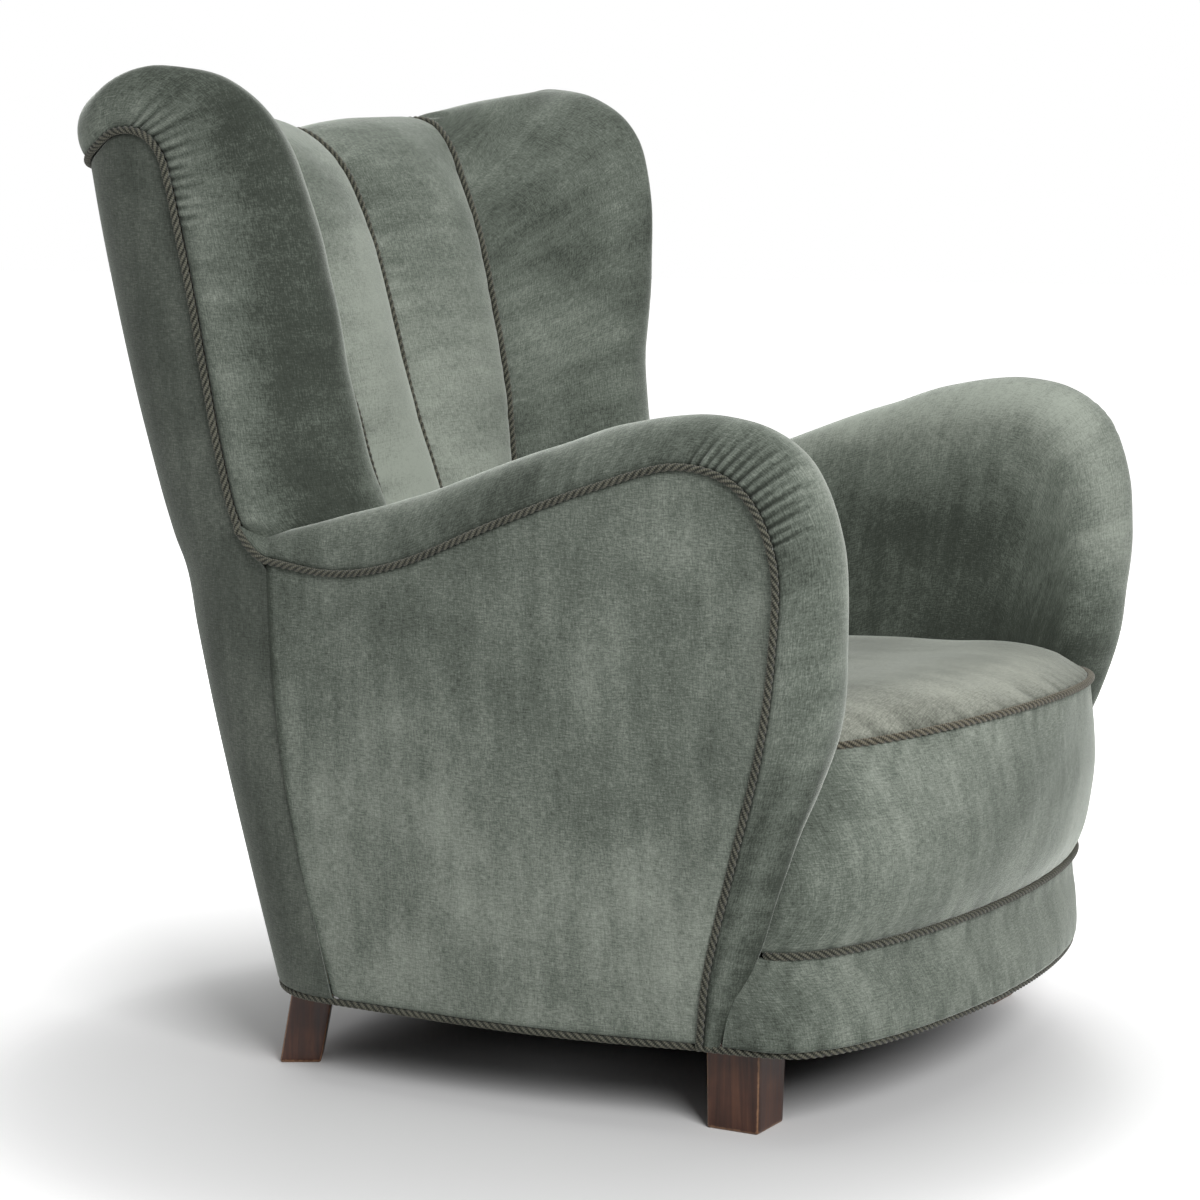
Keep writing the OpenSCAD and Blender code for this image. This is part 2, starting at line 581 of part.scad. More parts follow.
function back_y(x, share) =
    let (
        a = half_w * lookup(share, back_width_shares),
        edge = front_y + depth * lookup(share, back_edge_shares),
        b = front_y + depth * lookup(share, back_middle_shares) - edge,
        n = lookup(share, back_square_shares)
    )
    edge + b * pow(1 - pow(abs(x) / a, n), 1 / n);
back_post_shares = [0.008, 0.25, 0.45, 0.65, 0.85];
function post_back(z) = lookup(z, [for (s = back_post_shares)
    [body_z(s), back_y(back_post_x + back_post_t, s) - panel_t - 9 * gap]]);
function post_front(z) = post_back(z) - back_post_depth;
function arm_top_z(y) = lookup(y, [for (t = [0 : 0.05 : 0.5])
    let (p = arm_point(along(arm_ridge_shares, 0.5 - t))) [p[1], p[2] - arm_rail_drop]]);

// The arm rail's rear outer corner is cut away to clear the outer back
arm_corner_l = 68;
arm_corner_turn = 27;
// Dowels of the left side: middle, direction, share of the dowel length
dowel_z_shares = [0.3, 0.7];
arm_rail_back_y = post_back(leg_h + arm_rise * 0.66) - 38 * gap;
post_top_z = arm_top_z(post_y + post_depth / 2) - arm_rail_h - gap;
dowels = concat(
    [for (s = dowel_z_shares)
        [[post_foot_x + post_w - dowel_d, post_y + post_depth, frame_z + rail_h * s], "y", 1]],
    [for (s = dowel_z_shares)
        let (z = frame_z + rail_h * s)
        [[side_rail_x + rail_t / 2, post_front(z), z], "y", 1]],
    [[[back_post_x, post_front(lower_rail_z) + back_post_depth * 0.45,
        lower_rail_z + lower_rail_h / 2], "x", 1]],
    [[[post_top_x - dowel_r, post_y + post_depth / 2, post_top_z], "z", 0.8]],
    [[[arm_rail_x, post_front(leg_h + arm_rise * 0.66) + back_post_depth / 2,
        arm_top_z(arm_rail_back_y) - arm_rail_h / 2], "x", 0.6]]);
module dowel_set(spare) {
    for (d = dowels)
        translate(d[0])
        rotate(d[1] == "x" ? [0, quarter_turn, 0] : d[1] == "y" ? [quarter_turn, 0, 0] : [0, 0, 0])
        cylinder(h = dowel_l * d[2] + 2 * spare, r = dowel_r + spare, center = true, $fn = 24);
}
module frame_dowels() {
    color(beech) {
        dowel_set(0);
        mirror([1, 0, 0]) dowel_set(0);
    }
}

// Front of the bowed rail: just behind the band, which leans back as it rises
function rail_y(x) = max(bow_y(x, 0), bow_y(x, (frame_z + rail_h - leg_h) / seat_rise)) + panel_t + gap;
module front_rail() {
    outer = [for (i = [0 : 16]) let (x = mix(-front_rail_x, front_rail_x, i / 16)) [x, rail_y(x)]];
    inner = [for (i = [0 : 16]) let (x = mix(front_rail_x, -front_rail_x, i / 16)) [x, rail_y(x) + rail_t]];
    color(beech)
    difference() {
        translate([0, 0, frame_z])
        linear_extrude(rail_h)
        polygon(concat(outer, inner));
        block_screw_set(gap / 2);
        mirror([1, 0, 0]) block_screw_set(gap / 2);
    }
}
module corner_block() {
    x_in = leg_x - leg_w / 2 - rail_t;
    front = [for (i = [0 : 6])
        let (x = mix(front_rail_x, x_in, i / 6)) [x, rail_y(x) + rail_t + 3 * gap]];
    color(beech)
    difference() {
        translate([0, 0, frame_z])
        linear_extrude(block_h)
        polygon(concat(front, [[x_in, post_y - gap], [front_rail_x, post_y - gap]]));
        bolt_bores();
        block_screw_set(gap / 2);
    }
}
block_screw_xs = [leg_x - leg_w / 2 - rail_t / 2, front_rail_x - screw_margin];
// Screws that run forward through a corner block into the front rail
module block_screw_set(spare) {
    for (i = [0, 1]) {
        x = block_screw_xs[i];
        translate([x, rail_y(x) + rail_t / 4 - spare, frame_z + block_h / 2])
        rotate([-quarter_turn, 0, 0])
        cylinder(h = screw_l + 2 * spare, r = screw_d / 2 + spare, $fn = 24);
    }
}
module block_screws() {
    color(steel) {
        block_screw_set(0);
        mirror([1, 0, 0]) block_screw_set(0);
    }
}
function back_rail_y(x) = back_y(x, 0) - panel_t - 3 * gap;
module back_rail() {
    x_end = back_post_x - gap;
    outer = [for (i = [0 : 16]) let (x = mix(-x_end, x_end, i / 16)) [x, back_rail_y(x)]];
    inner = [for (i = [0 : 16]) let (x = mix(x_end, -x_end, i / 16)) [x, back_rail_y(x) - rail_t]];
    color(beech)
    difference() {
        translate([0, 0, frame_z])
        linear_extrude(rail_h)
        polygon(concat(outer, inner));
        bolt_bores();
    }
}
module rear_block() {
    x_out = back_post_x - gap;
    x_in = x_out - rear_block_w;
    y_front = post_front(frame_z);
    far = rail_t + 2 * gap;
    color(beech)
    difference() {
        translate([0, 0, frame_z])
        linear_extrude(block_h)
        polygon([[x_out, y_front], [x_out, back_rail_y(x_out) - far],
            [x_in, back_rail_y(x_in) - far], [x_in + rear_block_cut, y_front]]);
        bolt_bores();
    }
}
// A plank cut to a side outline of (y, z) points, as thick as given, from x
module side_plank(outline, x, t) {
    translate([x, 0, 0])
    rotate([quarter_turn, 0, quarter_turn])
    linear_extrude(t)
    polygon(outline);
}
module side_rail() {
    z1 = frame_z + rail_h;
    y0 = post_y + post_depth + gap;
    color(beech)
    difference() {
        side_plank([[y0, frame_z], [post_front(frame_z) - gap, frame_z],
            [post_front(z1) - gap, z1], [y0, z1]], side_rail_x, rail_t);
        dowel_set(gap / 2);
    }
}
module arm_post() {
    color(beech)
    difference() {
        translate([0, post_y + post_depth, 0])
        rotate([quarter_turn, 0, 0])
        linear_extrude(post_depth)
        polygon([[post_foot_x, frame_z], [post_foot_x + post_w, frame_z],
            [post_top_x + post_w / 2, post_top_z], [post_top_x - post_w / 2, post_top_z]]);
        dowel_set(gap / 2);
    }
}
module arm_rail() {
    ys = [for (i = [0 : 6]) mix(post_y - arm_rail_nose, arm_rail_back_y, i / 6)];
    top = [for (y = ys) [y, arm_top_z(y)]];
    low = [for (i = [0 : 6]) [ys[6 - i], arm_top_z(ys[6 - i]) - arm_rail_h]];
    color(beech)
    difference() {
        side_plank(concat(top, low), arm_rail_x, arm_rail_w);
        translate([0, 0, -gap]) post_seat();
        translate([arm_rail_x + arm_rail_w - 5 * gap, arm_rail_back_y - arm_corner_l,
            post_top_z - arm_rise / 2])
        rotate([0, 0, arm_corner_turn])
        cube([arm_rail_w, 2 * arm_corner_l, arm_rise]);
        dowel_set(gap / 2);
    }
}
// Flat seat cut under the arm rail where it lies on its post
module post_seat() {
    translate([arm_rail_x - overrun, post_y - arm_rail_nose - overrun, post_top_z - arm_rail_h])
    cube([arm_rail_w + 2 * overrun, post_depth + 2 * arm_rail_nose, arm_rail_h + 2 * gap]);
}
module back_post() {
    zs = [for (s = back_post_shares) body_z(s)];
    color(beech)
    difference() {
        side_plank(concat([for (z = zs) [post_front(z), z]],
            [for (i = [0 : 4]) [post_back(zs[4 - i]), zs[4 - i]]]), back_post_x, back_post_t);
        dowel_set(gap / 2);
    }
}
module back_lower_rail() {
    x_end = back_post_x - gap;
    y0 = post_front(lower_rail_z) + lining_t;
    color(beech)
    difference() {
        translate([-x_end, y0, lower_rail_z])
        cube([2 * x_end, rail_t, lower_rail_h]);
        dowel_set(gap / 2);
        mirror([1, 0, 0]) dowel_set(gap / 2);
    }
}
module back_top_rail() {
    x_end = back_post_x - gap;
    back = panel_t + top_rail_inset + panel_t;
    outer = [for (i = [0 : 12])
        let (x = mix(-x_end, x_end, i / 12)) [x, back_y(x, top_rail_share) - back]];
    inner = [for (i = [0 : 12])
        let (x = mix(x_end, -x_end, i / 12)) [x, back_y(x, top_rail_share) - back - rail_t]];
    color(beech)
    translate([0, 0, body_z(top_rail_share)])
    linear_extrude(top_rail_h)
    polygon(concat(outer, inner));
}
wing_board_x = half_w * 0.803;
wing_board_t = 18;
wing_board_shares = [[0.71, 0.462], [0.734, 0.515], [0.743, 0.575], [0.744, 0.676], [0.744, 0.765],
    [0.742, 0.855], [0.768, 0.908], [0.814, 0.93], [0.84, 0.918], [0.852, 0.88], [0.843, 0.777],
    [0.822, 0.665], [0.795, 0.553], [0.757, 0.462]];
module wing_board() {
    foot_z = arm_top_z(front_y + depth * 0.697) + gap;
    color(beech)
    side_plank([for (s = wing_board_shares) [front_y + depth * s[0], max(body_z(s[1]), foot_z)]],
        wing_board_x, wing_board_t);
}

// Jute webbing under the springs and across the back
web_x_shares = [-0.42, 0, 0.42];
web_y_shares = [0.3, 0.447, 0.594];
module seat_webbing() {
    z = frame_z - gap - webbing_t;
    reach_x = side_rail_x + rail_t / 2;
    color(jute) {
        for (s = web_x_shares) {
            y0 = bow_y(s * half_w, 0) + panel_t + rail_t / 3;
            y1 = back_y(s * half_w, 0) - panel_t - rail_t / 3;
            translate([s * half_w - webbing_w / 2, y0, z]) cube([webbing_w, y1 - y0, webbing_t]);
        }
        for (s = web_y_shares)
            translate([-reach_x, front_y + depth * s - webbing_w / 2, z])
            cube([2 * reach_x, webbing_w, webbing_t]);
    }
}
back_web_shares = [0.4, 0.5, 0.6, 0.7];
module back_webbing() {
    reach_x = back_post_x + back_post_t / 2;
    color(jute)
    for (s = back_web_shares) {
        zs = [body_z(s), body_z(s) + webbing_w];
        ys = [post_front(zs[0]) - 2 * gap, post_front(zs[1]) - 2 * gap];
        side_plank([[ys[0], zs[0]], [ys[1], zs[1]], [ys[1] - webbing_t, zs[1]], [ys[0] - webbing_t, zs[0]]],
            -reach_x, 2 * reach_x);
    }
}

// Waisted coil springs between the webbing and the hessian
spring_turns = 5;
spring_steps = 8;
spring_sides = 4;
spring_low = frame_z + spring_wire / 2;
spring_high = deck_z - 3 * gap - webbing_t - spring_wire / 2;
module seat_spring() {
    n = spring_turns * spring_steps;
    function centre(i) =
        let (
            v = i / n,
            turn = i * 2 * half_turn / spring_steps,
            r = mix(spring_waist_d, spring_d, pow(abs(2 * v - 1), 1.5)) / 2
        )
        [r * cos(turn), r * sin(turn), mix(spring_low, spring_high, v)];
    points = [for (i = [0 : n]) for (k = [0 : spring_sides - 1])
        let (
            turn = i * 2 * half_turn / spring_steps,
            a = (k + 0.5) * 2 * half_turn / spring_sides,
            out = [cos(turn), sin(turn), 0],
            r = spring_wire / 2 / cos(half_turn / spring_sides)
        )
        centre(i) + r * (cos(a) * out + [0, 0, sin(a)])];
    walls = [for (i = [0 : n - 1]) for (k = [0 : spring_sides - 1])
        let (
            a = i * spring_sides + k,
            b = i * spring_sides + (k + 1) % spring_sides
        )
        each [[a, b + spring_sides, a + spring_sides], [a, b, b + spring_sides]]];
    caps = [[for (k = [0 : spring_sides - 1]) spring_sides - 1 - k],
        [for (k = [0 : spring_sides - 1]) n * spring_sides + k]];
    polyhedron(points, concat(walls, caps), convexity = 10);
}
module seat_springs() {
    color(steel)
    for (sx = web_x_shares)
        for (sy = web_y_shares)
            translate([sx * half_w, front_y + depth * sy, 0]) seat_spring();
}
module seat_hessian() {
    z_share = (deck_z - leg_h) / seat_rise;
    x_end = half_w * 0.68;
    front = [for (i = [0 : 14])
        let (x = mix(-x_end, x_end, i / 14)) [x, bow_y(x, z_share) + panel_t + lining_t]];
    color(jute)
    translate([0, 0, deck_z - gap - webbing_t])
    linear_extrude(webbing_t)
    polygon(concat(front, [[x_end, seat_back_y - seat_back_bow], [-x_end, seat_back_y - seat_back_bow]]));
}

// Base outline, drawn in by an inset: from the middle of the front round to the middle of the back
function base_half(inset) = concat(
    [for (i = [0 : 10]) bow_point(i / 10, 0, inset)],
    [for (i = [0 : 8]) let (s = along(arm_foot_shares, 1 - i / 8))
        [half_w * s[0] - inset, front_y + depth * s[1], leg_h]],
    [for (a = [6, 14, 24, 36, 50, 65, 80]) back_point(a, 0, inset)]);
function whole_loop(half, back) = concat(half, [back],
    [for (i = [0 : len(half) - 2]) let (p = half[len(half) - 1 - i]) [-p[0], p[1], p[2]]]);
base_inset = cord_r - gap;
base_path = whole_loop(base_half(base_inset), back_point(quarter_turn, 0, base_inset));
dust_t = 1.2;
dust_z = leg_h + dust_t;
// Room round a leg in the dust cover
leg_play = 2;
module dust_cover() {
    inset = cord_d + 18 * gap;
    rear_room = rear_leg_w + 2 * leg_play;
    loop = whole_loop(base_half(inset), back_point(quarter_turn, 0, inset));
    color(dust_cloth)
    difference() {
        translate([0, 0, dust_z])
        linear_extrude(dust_t)
        polygon([for (p = loop) [p[0], p[1]]]);
        for (side = [-1, 1]) {
            translate([side * leg_x - leg_w / 2 - leg_play, leg_y - leg_w / 2 - leg_play, dust_z - overrun])
            cube([leg_w + 2 * leg_play, leg_w + 2 * leg_play, dust_t + 2 * overrun]);
            translate([side * rear_leg_x, rear_leg_y, dust_z - overrun])
            rotate([0, 0, -side * rear_leg_turn])
            translate([-rear_room / 2, -rear_room / 2, 0])
            cube([rear_room, 2 * rear_room, dust_t + 2 * overrun]);
        }
    }
}

// Rope cords, each along its seam
arm_cord_steps = 42;
module arm_cord() {
    color(rope)
    cord_tube([for (p = concat([for (s = arm_tail_cord_shares) arm_point(s)],
        [for (i = [0 : arm_cord_steps]) arm_point(along(arm_cord_shares, i / arm_cord_steps * 0.985))]))
        p + [4 * gap, 0, 0]]);
}
wing_cord_steps = 24;
module wing_cord() {
    half = concat(
        [for (i = [0 : wing_cord_steps])
            let (k = along(wing_cord_keys, i / wing_cord_steps)) back_point(max(k[0], 0), k[1], -4 * gap)],
        [for (a = [72, 81]) back_point(a, lookup(a, back_top_shares), -gap)]);
    middle = back_point(quarter_turn, lookup(quarter_turn, back_top_shares), -gap);
    color(rope)
    cord_tube(whole_loop(half, middle), start_side = [1, 0, 0]);
}
channel_cord_steps = 22;
module seam_cord(keys) {
    color(rope)
    cord_tube([for (i = [0 : channel_cord_steps])
        body_point(along(keys, mix(0.01, 0.97, i / channel_cord_steps)))], start_side = [1, 0, 0]);
}
seat_cord_steps = 26;
module seat_cord() {
    color(rope)
    cord_tube([for (i = [0 : seat_cord_steps]) seat_cord_point(mix(-0.985, 0.985, i / seat_cord_steps))
        + [0, -gap, 0]]);
}
module band_cord() {
    color(rope)
    cord_tube([for (i = [0 : seat_cord_steps])
        bow_point(mix(-0.985, 0.985, i / seat_cord_steps), band_share, -gap)]);
}
module base_cord() {
    color(rope)
    cord_tube(base_path, closed = true);
}

front_leg();  // left_front_leg
mirror([1, 0, 0]) front_leg();  // right_front_leg
rear_leg();  // left_rear_leg
mirror([1, 0, 0]) rear_leg();  // right_rear_leg
leg_bolts();
front_rail();
back_rail();
side_rail();  // left_side_rail
mirror([1, 0, 0]) side_rail();  // right_side_rail
corner_block();  // left_corner_block
mirror([1, 0, 0]) corner_block();  // right_corner_block
rear_block();  // left_rear_block
mirror([1, 0, 0]) rear_block();  // right_rear_block
block_screws();
arm_post();  // left_arm_post
mirror([1, 0, 0]) arm_post();  // right_arm_post
arm_rail();  // left_arm_rail
mirror([1, 0, 0]) arm_rail();  // right_arm_rail
back_post();  // left_back_post
mirror([1, 0, 0]) back_post();  // right_back_post
back_top_rail();
back_lower_rail();
frame_dowels();
wing_board();  // left_wing_board
mirror([1, 0, 0]) wing_board();  // right_wing_board
seat_webbing();
back_webbing();
seat_springs();
seat_hessian();
seat_pad();
seat_border();
front_band();
dust_cover();
arm_pad();  // left_arm_pad
mirror([1, 0, 0]) arm_pad();  // right_arm_pad
arm_panel();  // left_arm_panel
mirror([1, 0, 0]) arm_panel();  // right_arm_panel
wing_pad();  // left_wing_pad
mirror([1, 0, 0]) wing_pad();  // right_wing_pad
back_channel();  // left_back_channel
mirror([1, 0, 0]) back_channel();  // right_back_channel
outer_back_cover();
arm_cord();  // left_arm_cord
mirror([1, 0, 0]) arm_cord();  // right_arm_cord
wing_cord();
seam_cord(middle_seam_shares);  // centre_channel_cord
seam_cord(side_seam_shares);  // left_channel_cord
mirror([1, 0, 0]) seam_cord(side_seam_shares);  // right_channel_cord
seat_cord();
band_cord();
base_cord();
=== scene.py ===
# %% [markdown]
# High back lounge chair with a channelled wing back, rolled arms and a sprung seat.
# The wooden frame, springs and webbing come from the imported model, and this lesson dresses it:
# velvet covers over the padding, twisted rope cord along the seams, and stained legs.
# Every length is in metres and the chair keeps the frame's own place: +Z is up, the front faces -Y.

# %% Load the frame
import math

import bmesh
import bpy
import numpy as np
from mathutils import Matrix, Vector, noise


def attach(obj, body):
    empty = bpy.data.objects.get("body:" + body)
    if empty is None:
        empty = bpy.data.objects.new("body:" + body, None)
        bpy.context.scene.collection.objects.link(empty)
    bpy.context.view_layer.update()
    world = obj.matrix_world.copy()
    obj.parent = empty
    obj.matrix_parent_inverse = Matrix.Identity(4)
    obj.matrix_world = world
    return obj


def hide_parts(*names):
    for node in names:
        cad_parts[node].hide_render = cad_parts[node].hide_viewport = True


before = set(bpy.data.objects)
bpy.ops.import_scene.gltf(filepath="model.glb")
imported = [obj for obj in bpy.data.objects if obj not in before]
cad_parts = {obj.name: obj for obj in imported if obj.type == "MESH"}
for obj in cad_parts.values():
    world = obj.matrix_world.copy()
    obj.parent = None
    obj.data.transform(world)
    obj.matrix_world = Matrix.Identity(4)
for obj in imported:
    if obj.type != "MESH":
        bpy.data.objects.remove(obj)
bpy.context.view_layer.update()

# %% [markdown]
# The camera comes first. A long lens from a little above the seat keeps the sides of the chair
# nearly parallel, as a catalogue photograph does. Its place was found by matching points that
# lie on both sides of the chair, such as the wing tops and the ends of the seat cord.

# %% Camera
CAMERA_AT = (-2.846, -1.602, 0.8465)
CAMERA_TURN = math.radians(-60.2)
CAMERA_TILT = math.radians(7.03)
LENS, FILM_WIDTH = 95.7, 36


def in_scene(name, data):
    made = bpy.data.objects.new(name, data)
    bpy.context.scene.collection.objects.link(made)
    return made


camera = in_scene("camera", bpy.data.cameras.new("camera"))
camera.data.lens, camera.data.sensor_width = LENS, FILM_WIDTH
camera.location = CAMERA_AT
camera.rotation_euler = (math.pi / 2 - CAMERA_TILT, 0, CAMERA_TURN)
bpy.context.scene.camera = camera
print("camera at", CAMERA_AT)

# %% [markdown]
# Light comes from three large soft panels: a broad key in front of the chair, a weaker one behind
# it and one overhead. The world adds a little from all round. To the camera and to reflections
# it is plain white, which leaves the light on the velvet alone.

# %% Lamps
KEY_POWER, RIM_POWER, TOP_POWER = 98, 40, 50
PANELS = [("key_panel", (-2.3, -2.9, 2.3), (0, -0.1, 0.45), (1.8, 1.6), KEY_POWER),
          ("rim_panel", (2.6, 1.6, 2.3), (0, 0, 0.6), (2.0, 1.6), RIM_POWER),
          ("top_panel", (0.4, 0.4, 3.6), (0, 0, 0.4), (3.0, 3.0), TOP_POWER)]


def soft_panel(name, at, towards, size, power):
    lamp = bpy.data.lights.new(name, "AREA")
    lamp.shape, lamp.energy = "RECTANGLE", power
    lamp.size, lamp.size_y = size
    panel = in_scene(name, lamp)
    panel.location = at
    panel.rotation_euler = (Vector(towards) - Vector(at)).to_track_quat("-Z", "Y").to_euler()
    return panel


print("lamps", [soft_panel(*row).name for row in PANELS])

# %% [markdown]
# The world and every material are graphs of nodes. A few short calls add the nodes and link them, so
# that each graph below reads as a few lines: first the places, then noise, tone, colour and shader.


# %% Short calls for nodes
class Wiring:
    """Adds nodes by short calls: an input is a node, a (node, output) pair or a plain value."""

    def __init__(self, owner):
        owner.use_nodes = True
        self.tree = owner.node_tree
        self.tree.nodes.clear()

    def node(self, kind, inputs, **settings):
        made = self.tree.nodes.new("ShaderNode" + kind)
        for key, value in settings.items():
            setattr(made, key, value)
        for key, value in inputs.items():
            if isinstance(value, bpy.types.Node):
                value = (value, 0)
            if isinstance(value, tuple) and isinstance(value[0], bpy.types.Node):
                self.tree.links.new(value[0].outputs[value[1]], made.inputs[key])
            else:
                made.inputs[key].default_value = value
        return made

    def place(self):
        return self.node("TexCoord", {}), "Object"

    def stored(self, name, output="Vector"):
        return self.node("Attribute", {}, attribute_name=name), output

    def stretched(self, where, by):
        return self.node("VectorMath", {0: where, 1: by}, operation="MULTIPLY")

    def noise(self, where, scale, detail=2.0, rough=0.5, distortion=0.0):
        return self.node("TexNoise", {"Vector": where, "Scale": scale, "Detail": detail,
                                      "Roughness": rough, "Distortion": distortion})

    def maths(self, operation, *values):
        return self.node("Math", dict(enumerate(values)), operation=operation)

    def total(self, *terms):
        """The sum of (value, weight) pairs."""
        whole, *others = (self.maths("MULTIPLY", *term) for term in terms)
        for term in others:
            whole = self.maths("ADD", whole, term)
        return whole

    def level(self, value, low, high, to_low=0.0, to_high=1.0):
        return self.node("MapRange", {0: value, 1: low, 2: high, 3: to_low, 4: to_high})

    def ramp(self, value, *stops):
        made = self.node("ValToRGB", {0: value})
        elements = made.color_ramp.elements
        for _ in stops[2:]:
            elements.new(0.5)
        for element, (place, colour) in zip(elements, stops):
            element.position, element.color = place, (*colour, 1)
        return made

    def seen(self):
        """1 for what the camera or a reflection sees, and 0 for light on its way to the chair."""
        rays = self.node("LightPath", {})
        mirrored = self.maths("MAXIMUM", (rays, "Is Glossy Ray"), (rays, "Is Transmission Ray"))
        return self.maths("MAXIMUM", (rays, "Is Camera Ray"), mirrored)

    def surface(self, height, strength, depth, inputs):
        """A shader with these inputs, and a bump that stands for heights too fine to model."""
        bump = self.node("Bump", {"Strength": strength, "Distance": depth, "Height": height})
        shader = self.node("BsdfPrincipled", {"Normal": bump, **inputs})
        self.node("OutputMaterial", {"Surface": shader})


def new_material(name):
    material = bpy.data.materials.new(name)
    return material, Wiring(material)


# %% World
WORLD_LIGHT = 0.24
WHITE = (1, 1, 1, 1)

world = bpy.data.worlds.new("studio")
wiring = Wiring(world)
dim, bright = (wiring.node("Background", {"Color": WHITE, "Strength": strength})
               for strength in (WORLD_LIGHT, 1.0))
wiring.node("OutputWorld", {"Surface": wiring.node("MixShader", {0: wiring.seen(), 1: dim, 2: bright})})
bpy.context.scene.world = world
bpy.context.scene.view_settings.view_transform = "Standard"
print("world light", WORLD_LIGHT)

# %% [markdown]
# The velvet is a thick cotton pile with a slubbed weave under it. Close to, it shows fine streaks in
# two directions, and further off it is mottled where the pile has been brushed or sat on. The streaks
# follow the cloth, so they use lengths stored on each cover. The mottling follows the whole chair.
# The pile's soft edge light comes from the shader's own sheen. A stored mark also paints light and shade
# into the colour: painted shade in seam valleys, gathers and recesses, and painted light on crests, where
# it stands for wear as well, and on the sides that the lamps light most.

# %% Velvet
# The darkest and lightest stops of the velvet, mostly reached through painted shade and painted light.
SHADED_AND_PRESSED, LIT_AND_BRUSHED = 0.62, 1.30
VELVETS = {  # dark, middle and light tone, and sheen
    "velvet": ((0.066, 0.077, 0.063), (0.165, 0.189, 0.159), (0.315, 0.345, 0.298), 0.95),
    # A darker copy of the velvet that paints the shade on the outer back.
    "velvet_dark": ((0.050, 0.057, 0.047), (0.104, 0.118, 0.100), (0.190, 0.208, 0.178), 0.60),
    "velvet_seat": ((0.080, 0.083, 0.068), (0.190, 0.200, 0.168), (0.340, 0.352, 0.300), 0.95),
}
STREAKS_ALONG = (130.0, 640.0, 0.0)
STREAKS_ACROSS = (560.0, 120.0, 0.0)
BRUSH_MARKS = (58.0, 9.0, 0.0)
PILE_SCALE, SLUB_SCALE = 2600.0, 760.0
BRUSHED_SCALE, PATCH_SCALE = 9.0, 55.0


def velvet_material(name, dark, mid, light, sheen):
    material, w = new_material(name)
    cloth, place = w.stored("cloth"), w.place()
    warp = w.noise(w.stretched(cloth, STREAKS_ALONG), 1.0, 3.0, 0.62)
    weft = w.noise(w.stretched(cloth, STREAKS_ACROSS), 1.0, 3.0, 0.62)
    strokes = w.noise(w.stretched(cloth, BRUSH_MARKS), 1.0)
    pile = w.noise(cloth, PILE_SCALE, 1.0)
    slubs = w.noise(cloth, SLUB_SCALE, 1.0)
    brushed = w.noise(place, BRUSHED_SCALE, 4.0, 0.58, 0.3)
    patches = w.noise(place, PATCH_SCALE, 2.0, 0.6, 0.4)
    streaks = w.total((warp, 0.55), (weft, 0.45))
    # The stored mark paints light and shade into the tone, and it is what mostly takes the tone to the
    # darkest and the lightest stops.
    tone = w.total((streaks, 0.64), (brushed, 0.36), (slubs, 0.22), (strokes, 0.16), (patches, 0.07),
                   (w.stored("fold", "Fac"), 0.20))
    colour = w.ramp(tone, (0.44, [SHADED_AND_PRESSED * c for c in dark]), (0.575, dark), (0.73, mid),
                    (0.875, light), (1.0, [LIT_AND_BRUSHED * c for c in light]))
    w.surface(w.total((streaks, 1.0), (pile, 0.35)), 0.55, 0.0006, {
        "Base Color": colour, "Roughness": w.level(patches, 0.3, 0.7, 0.78, 0.92),
        "Sheen Weight": sheen, "Sheen Roughness": 0.30, "Sheen Tint": (0.90, 0.95, 0.88, 1.0),
        "Specular IOR Level": 0.12})
    return material


velvet, velvet_dark, velvet_seat = (velvet_material(name, *row) for name, row in VELVETS.items())
print("velvets", list(VELVETS))

# %% [markdown]
# The shapes of an upholstered chair are hard to model by pushing points about. Here each seam and
# each ridge is a short list of points, given as shares of half the width, of the depth and of a
# height, and a smooth curve runs through them. The covers are then skins stretched between the
# curves, so the lists can be read like a cutting plan.

# %% Sizes and curves
HALF_W, DEPTH, HEIGHT = 0.407, 0.950, 0.980
LEG_H, ARM_H, SEAT_H = 0.085, 0.664, 0.378
FRONT_Y = -0.47275
CORD_R = 0.0037
BODY_H, ARM_RISE, SEAT_RISE = HEIGHT - LEG_H, ARM_H - LEG_H, SEAT_H - LEG_H
ACROSS = np.array([1.0, 0.0, 0.0])


def along(keys, t):
    """Points of a smooth curve through evenly counted keys, for every t from 0 to 1."""
    keys = np.asarray(keys, float)
    last = len(keys) - 1
    s = np.clip(np.asarray(t, float), 0, 1) * last
    i = np.minimum(s.astype(int), last - 1)
    f = (s - i).reshape(s.shape + (1,) * (keys.ndim - 1))
    b, c = keys[i], keys[i + 1]
    a = np.where((i > 0).reshape(f.shape), keys[np.maximum(i - 1, 0)], 2 * b - c)
    d = np.where((i < last - 1).reshape(f.shape), keys[np.minimum(i + 2, last)], 2 * c - b)
    return 0.5 * (2 * b + (c - a) * f + (2 * a - 5 * b + 4 * c - d) * f ** 2
                  + (3 * b - a - 3 * c + d) * f ** 3)


def smooth(x, table):
    """Looks x up in a table of (place, value) along a curve without kinks."""
    place, value = np.array(table, float).T
    slope = np.gradient(value, place)
    x = np.clip(x, place[0], place[-1])
    i = np.clip(np.searchsorted(place, x, side="right") - 1, 0, len(place) - 2)
    h = place[i + 1] - place[i]
    f = (x - place[i]) / h
    return ((2 * f ** 3 - 3 * f ** 2 + 1) * value[i] + (f ** 3 - 2 * f ** 2 + f) * h * slope[i]
            + (3 * f ** 2 - 2 * f ** 3) * value[i + 1] + (f ** 3 - f ** 2) * h * slope[i + 1])


def placed(shares, rise):
    shares = np.asarray(shares, float)
    return np.stack([HALF_W * shares[..., 0], FRONT_Y + DEPTH * shares[..., 1],
                     LEG_H + rise * shares[..., 2]], axis=-1)


def body_curve(keys, t):
    return placed(along(keys, t), BODY_H)


def arm_curve(keys, t):
    return placed(along(keys, t), ARM_RISE)


def ease(x, low, high):
    """0 below low, 1 above high and a soft step between."""
    f = np.clip((x - low) / (high - low), 0, 1)
    return f * f * (3 - 2 * f)


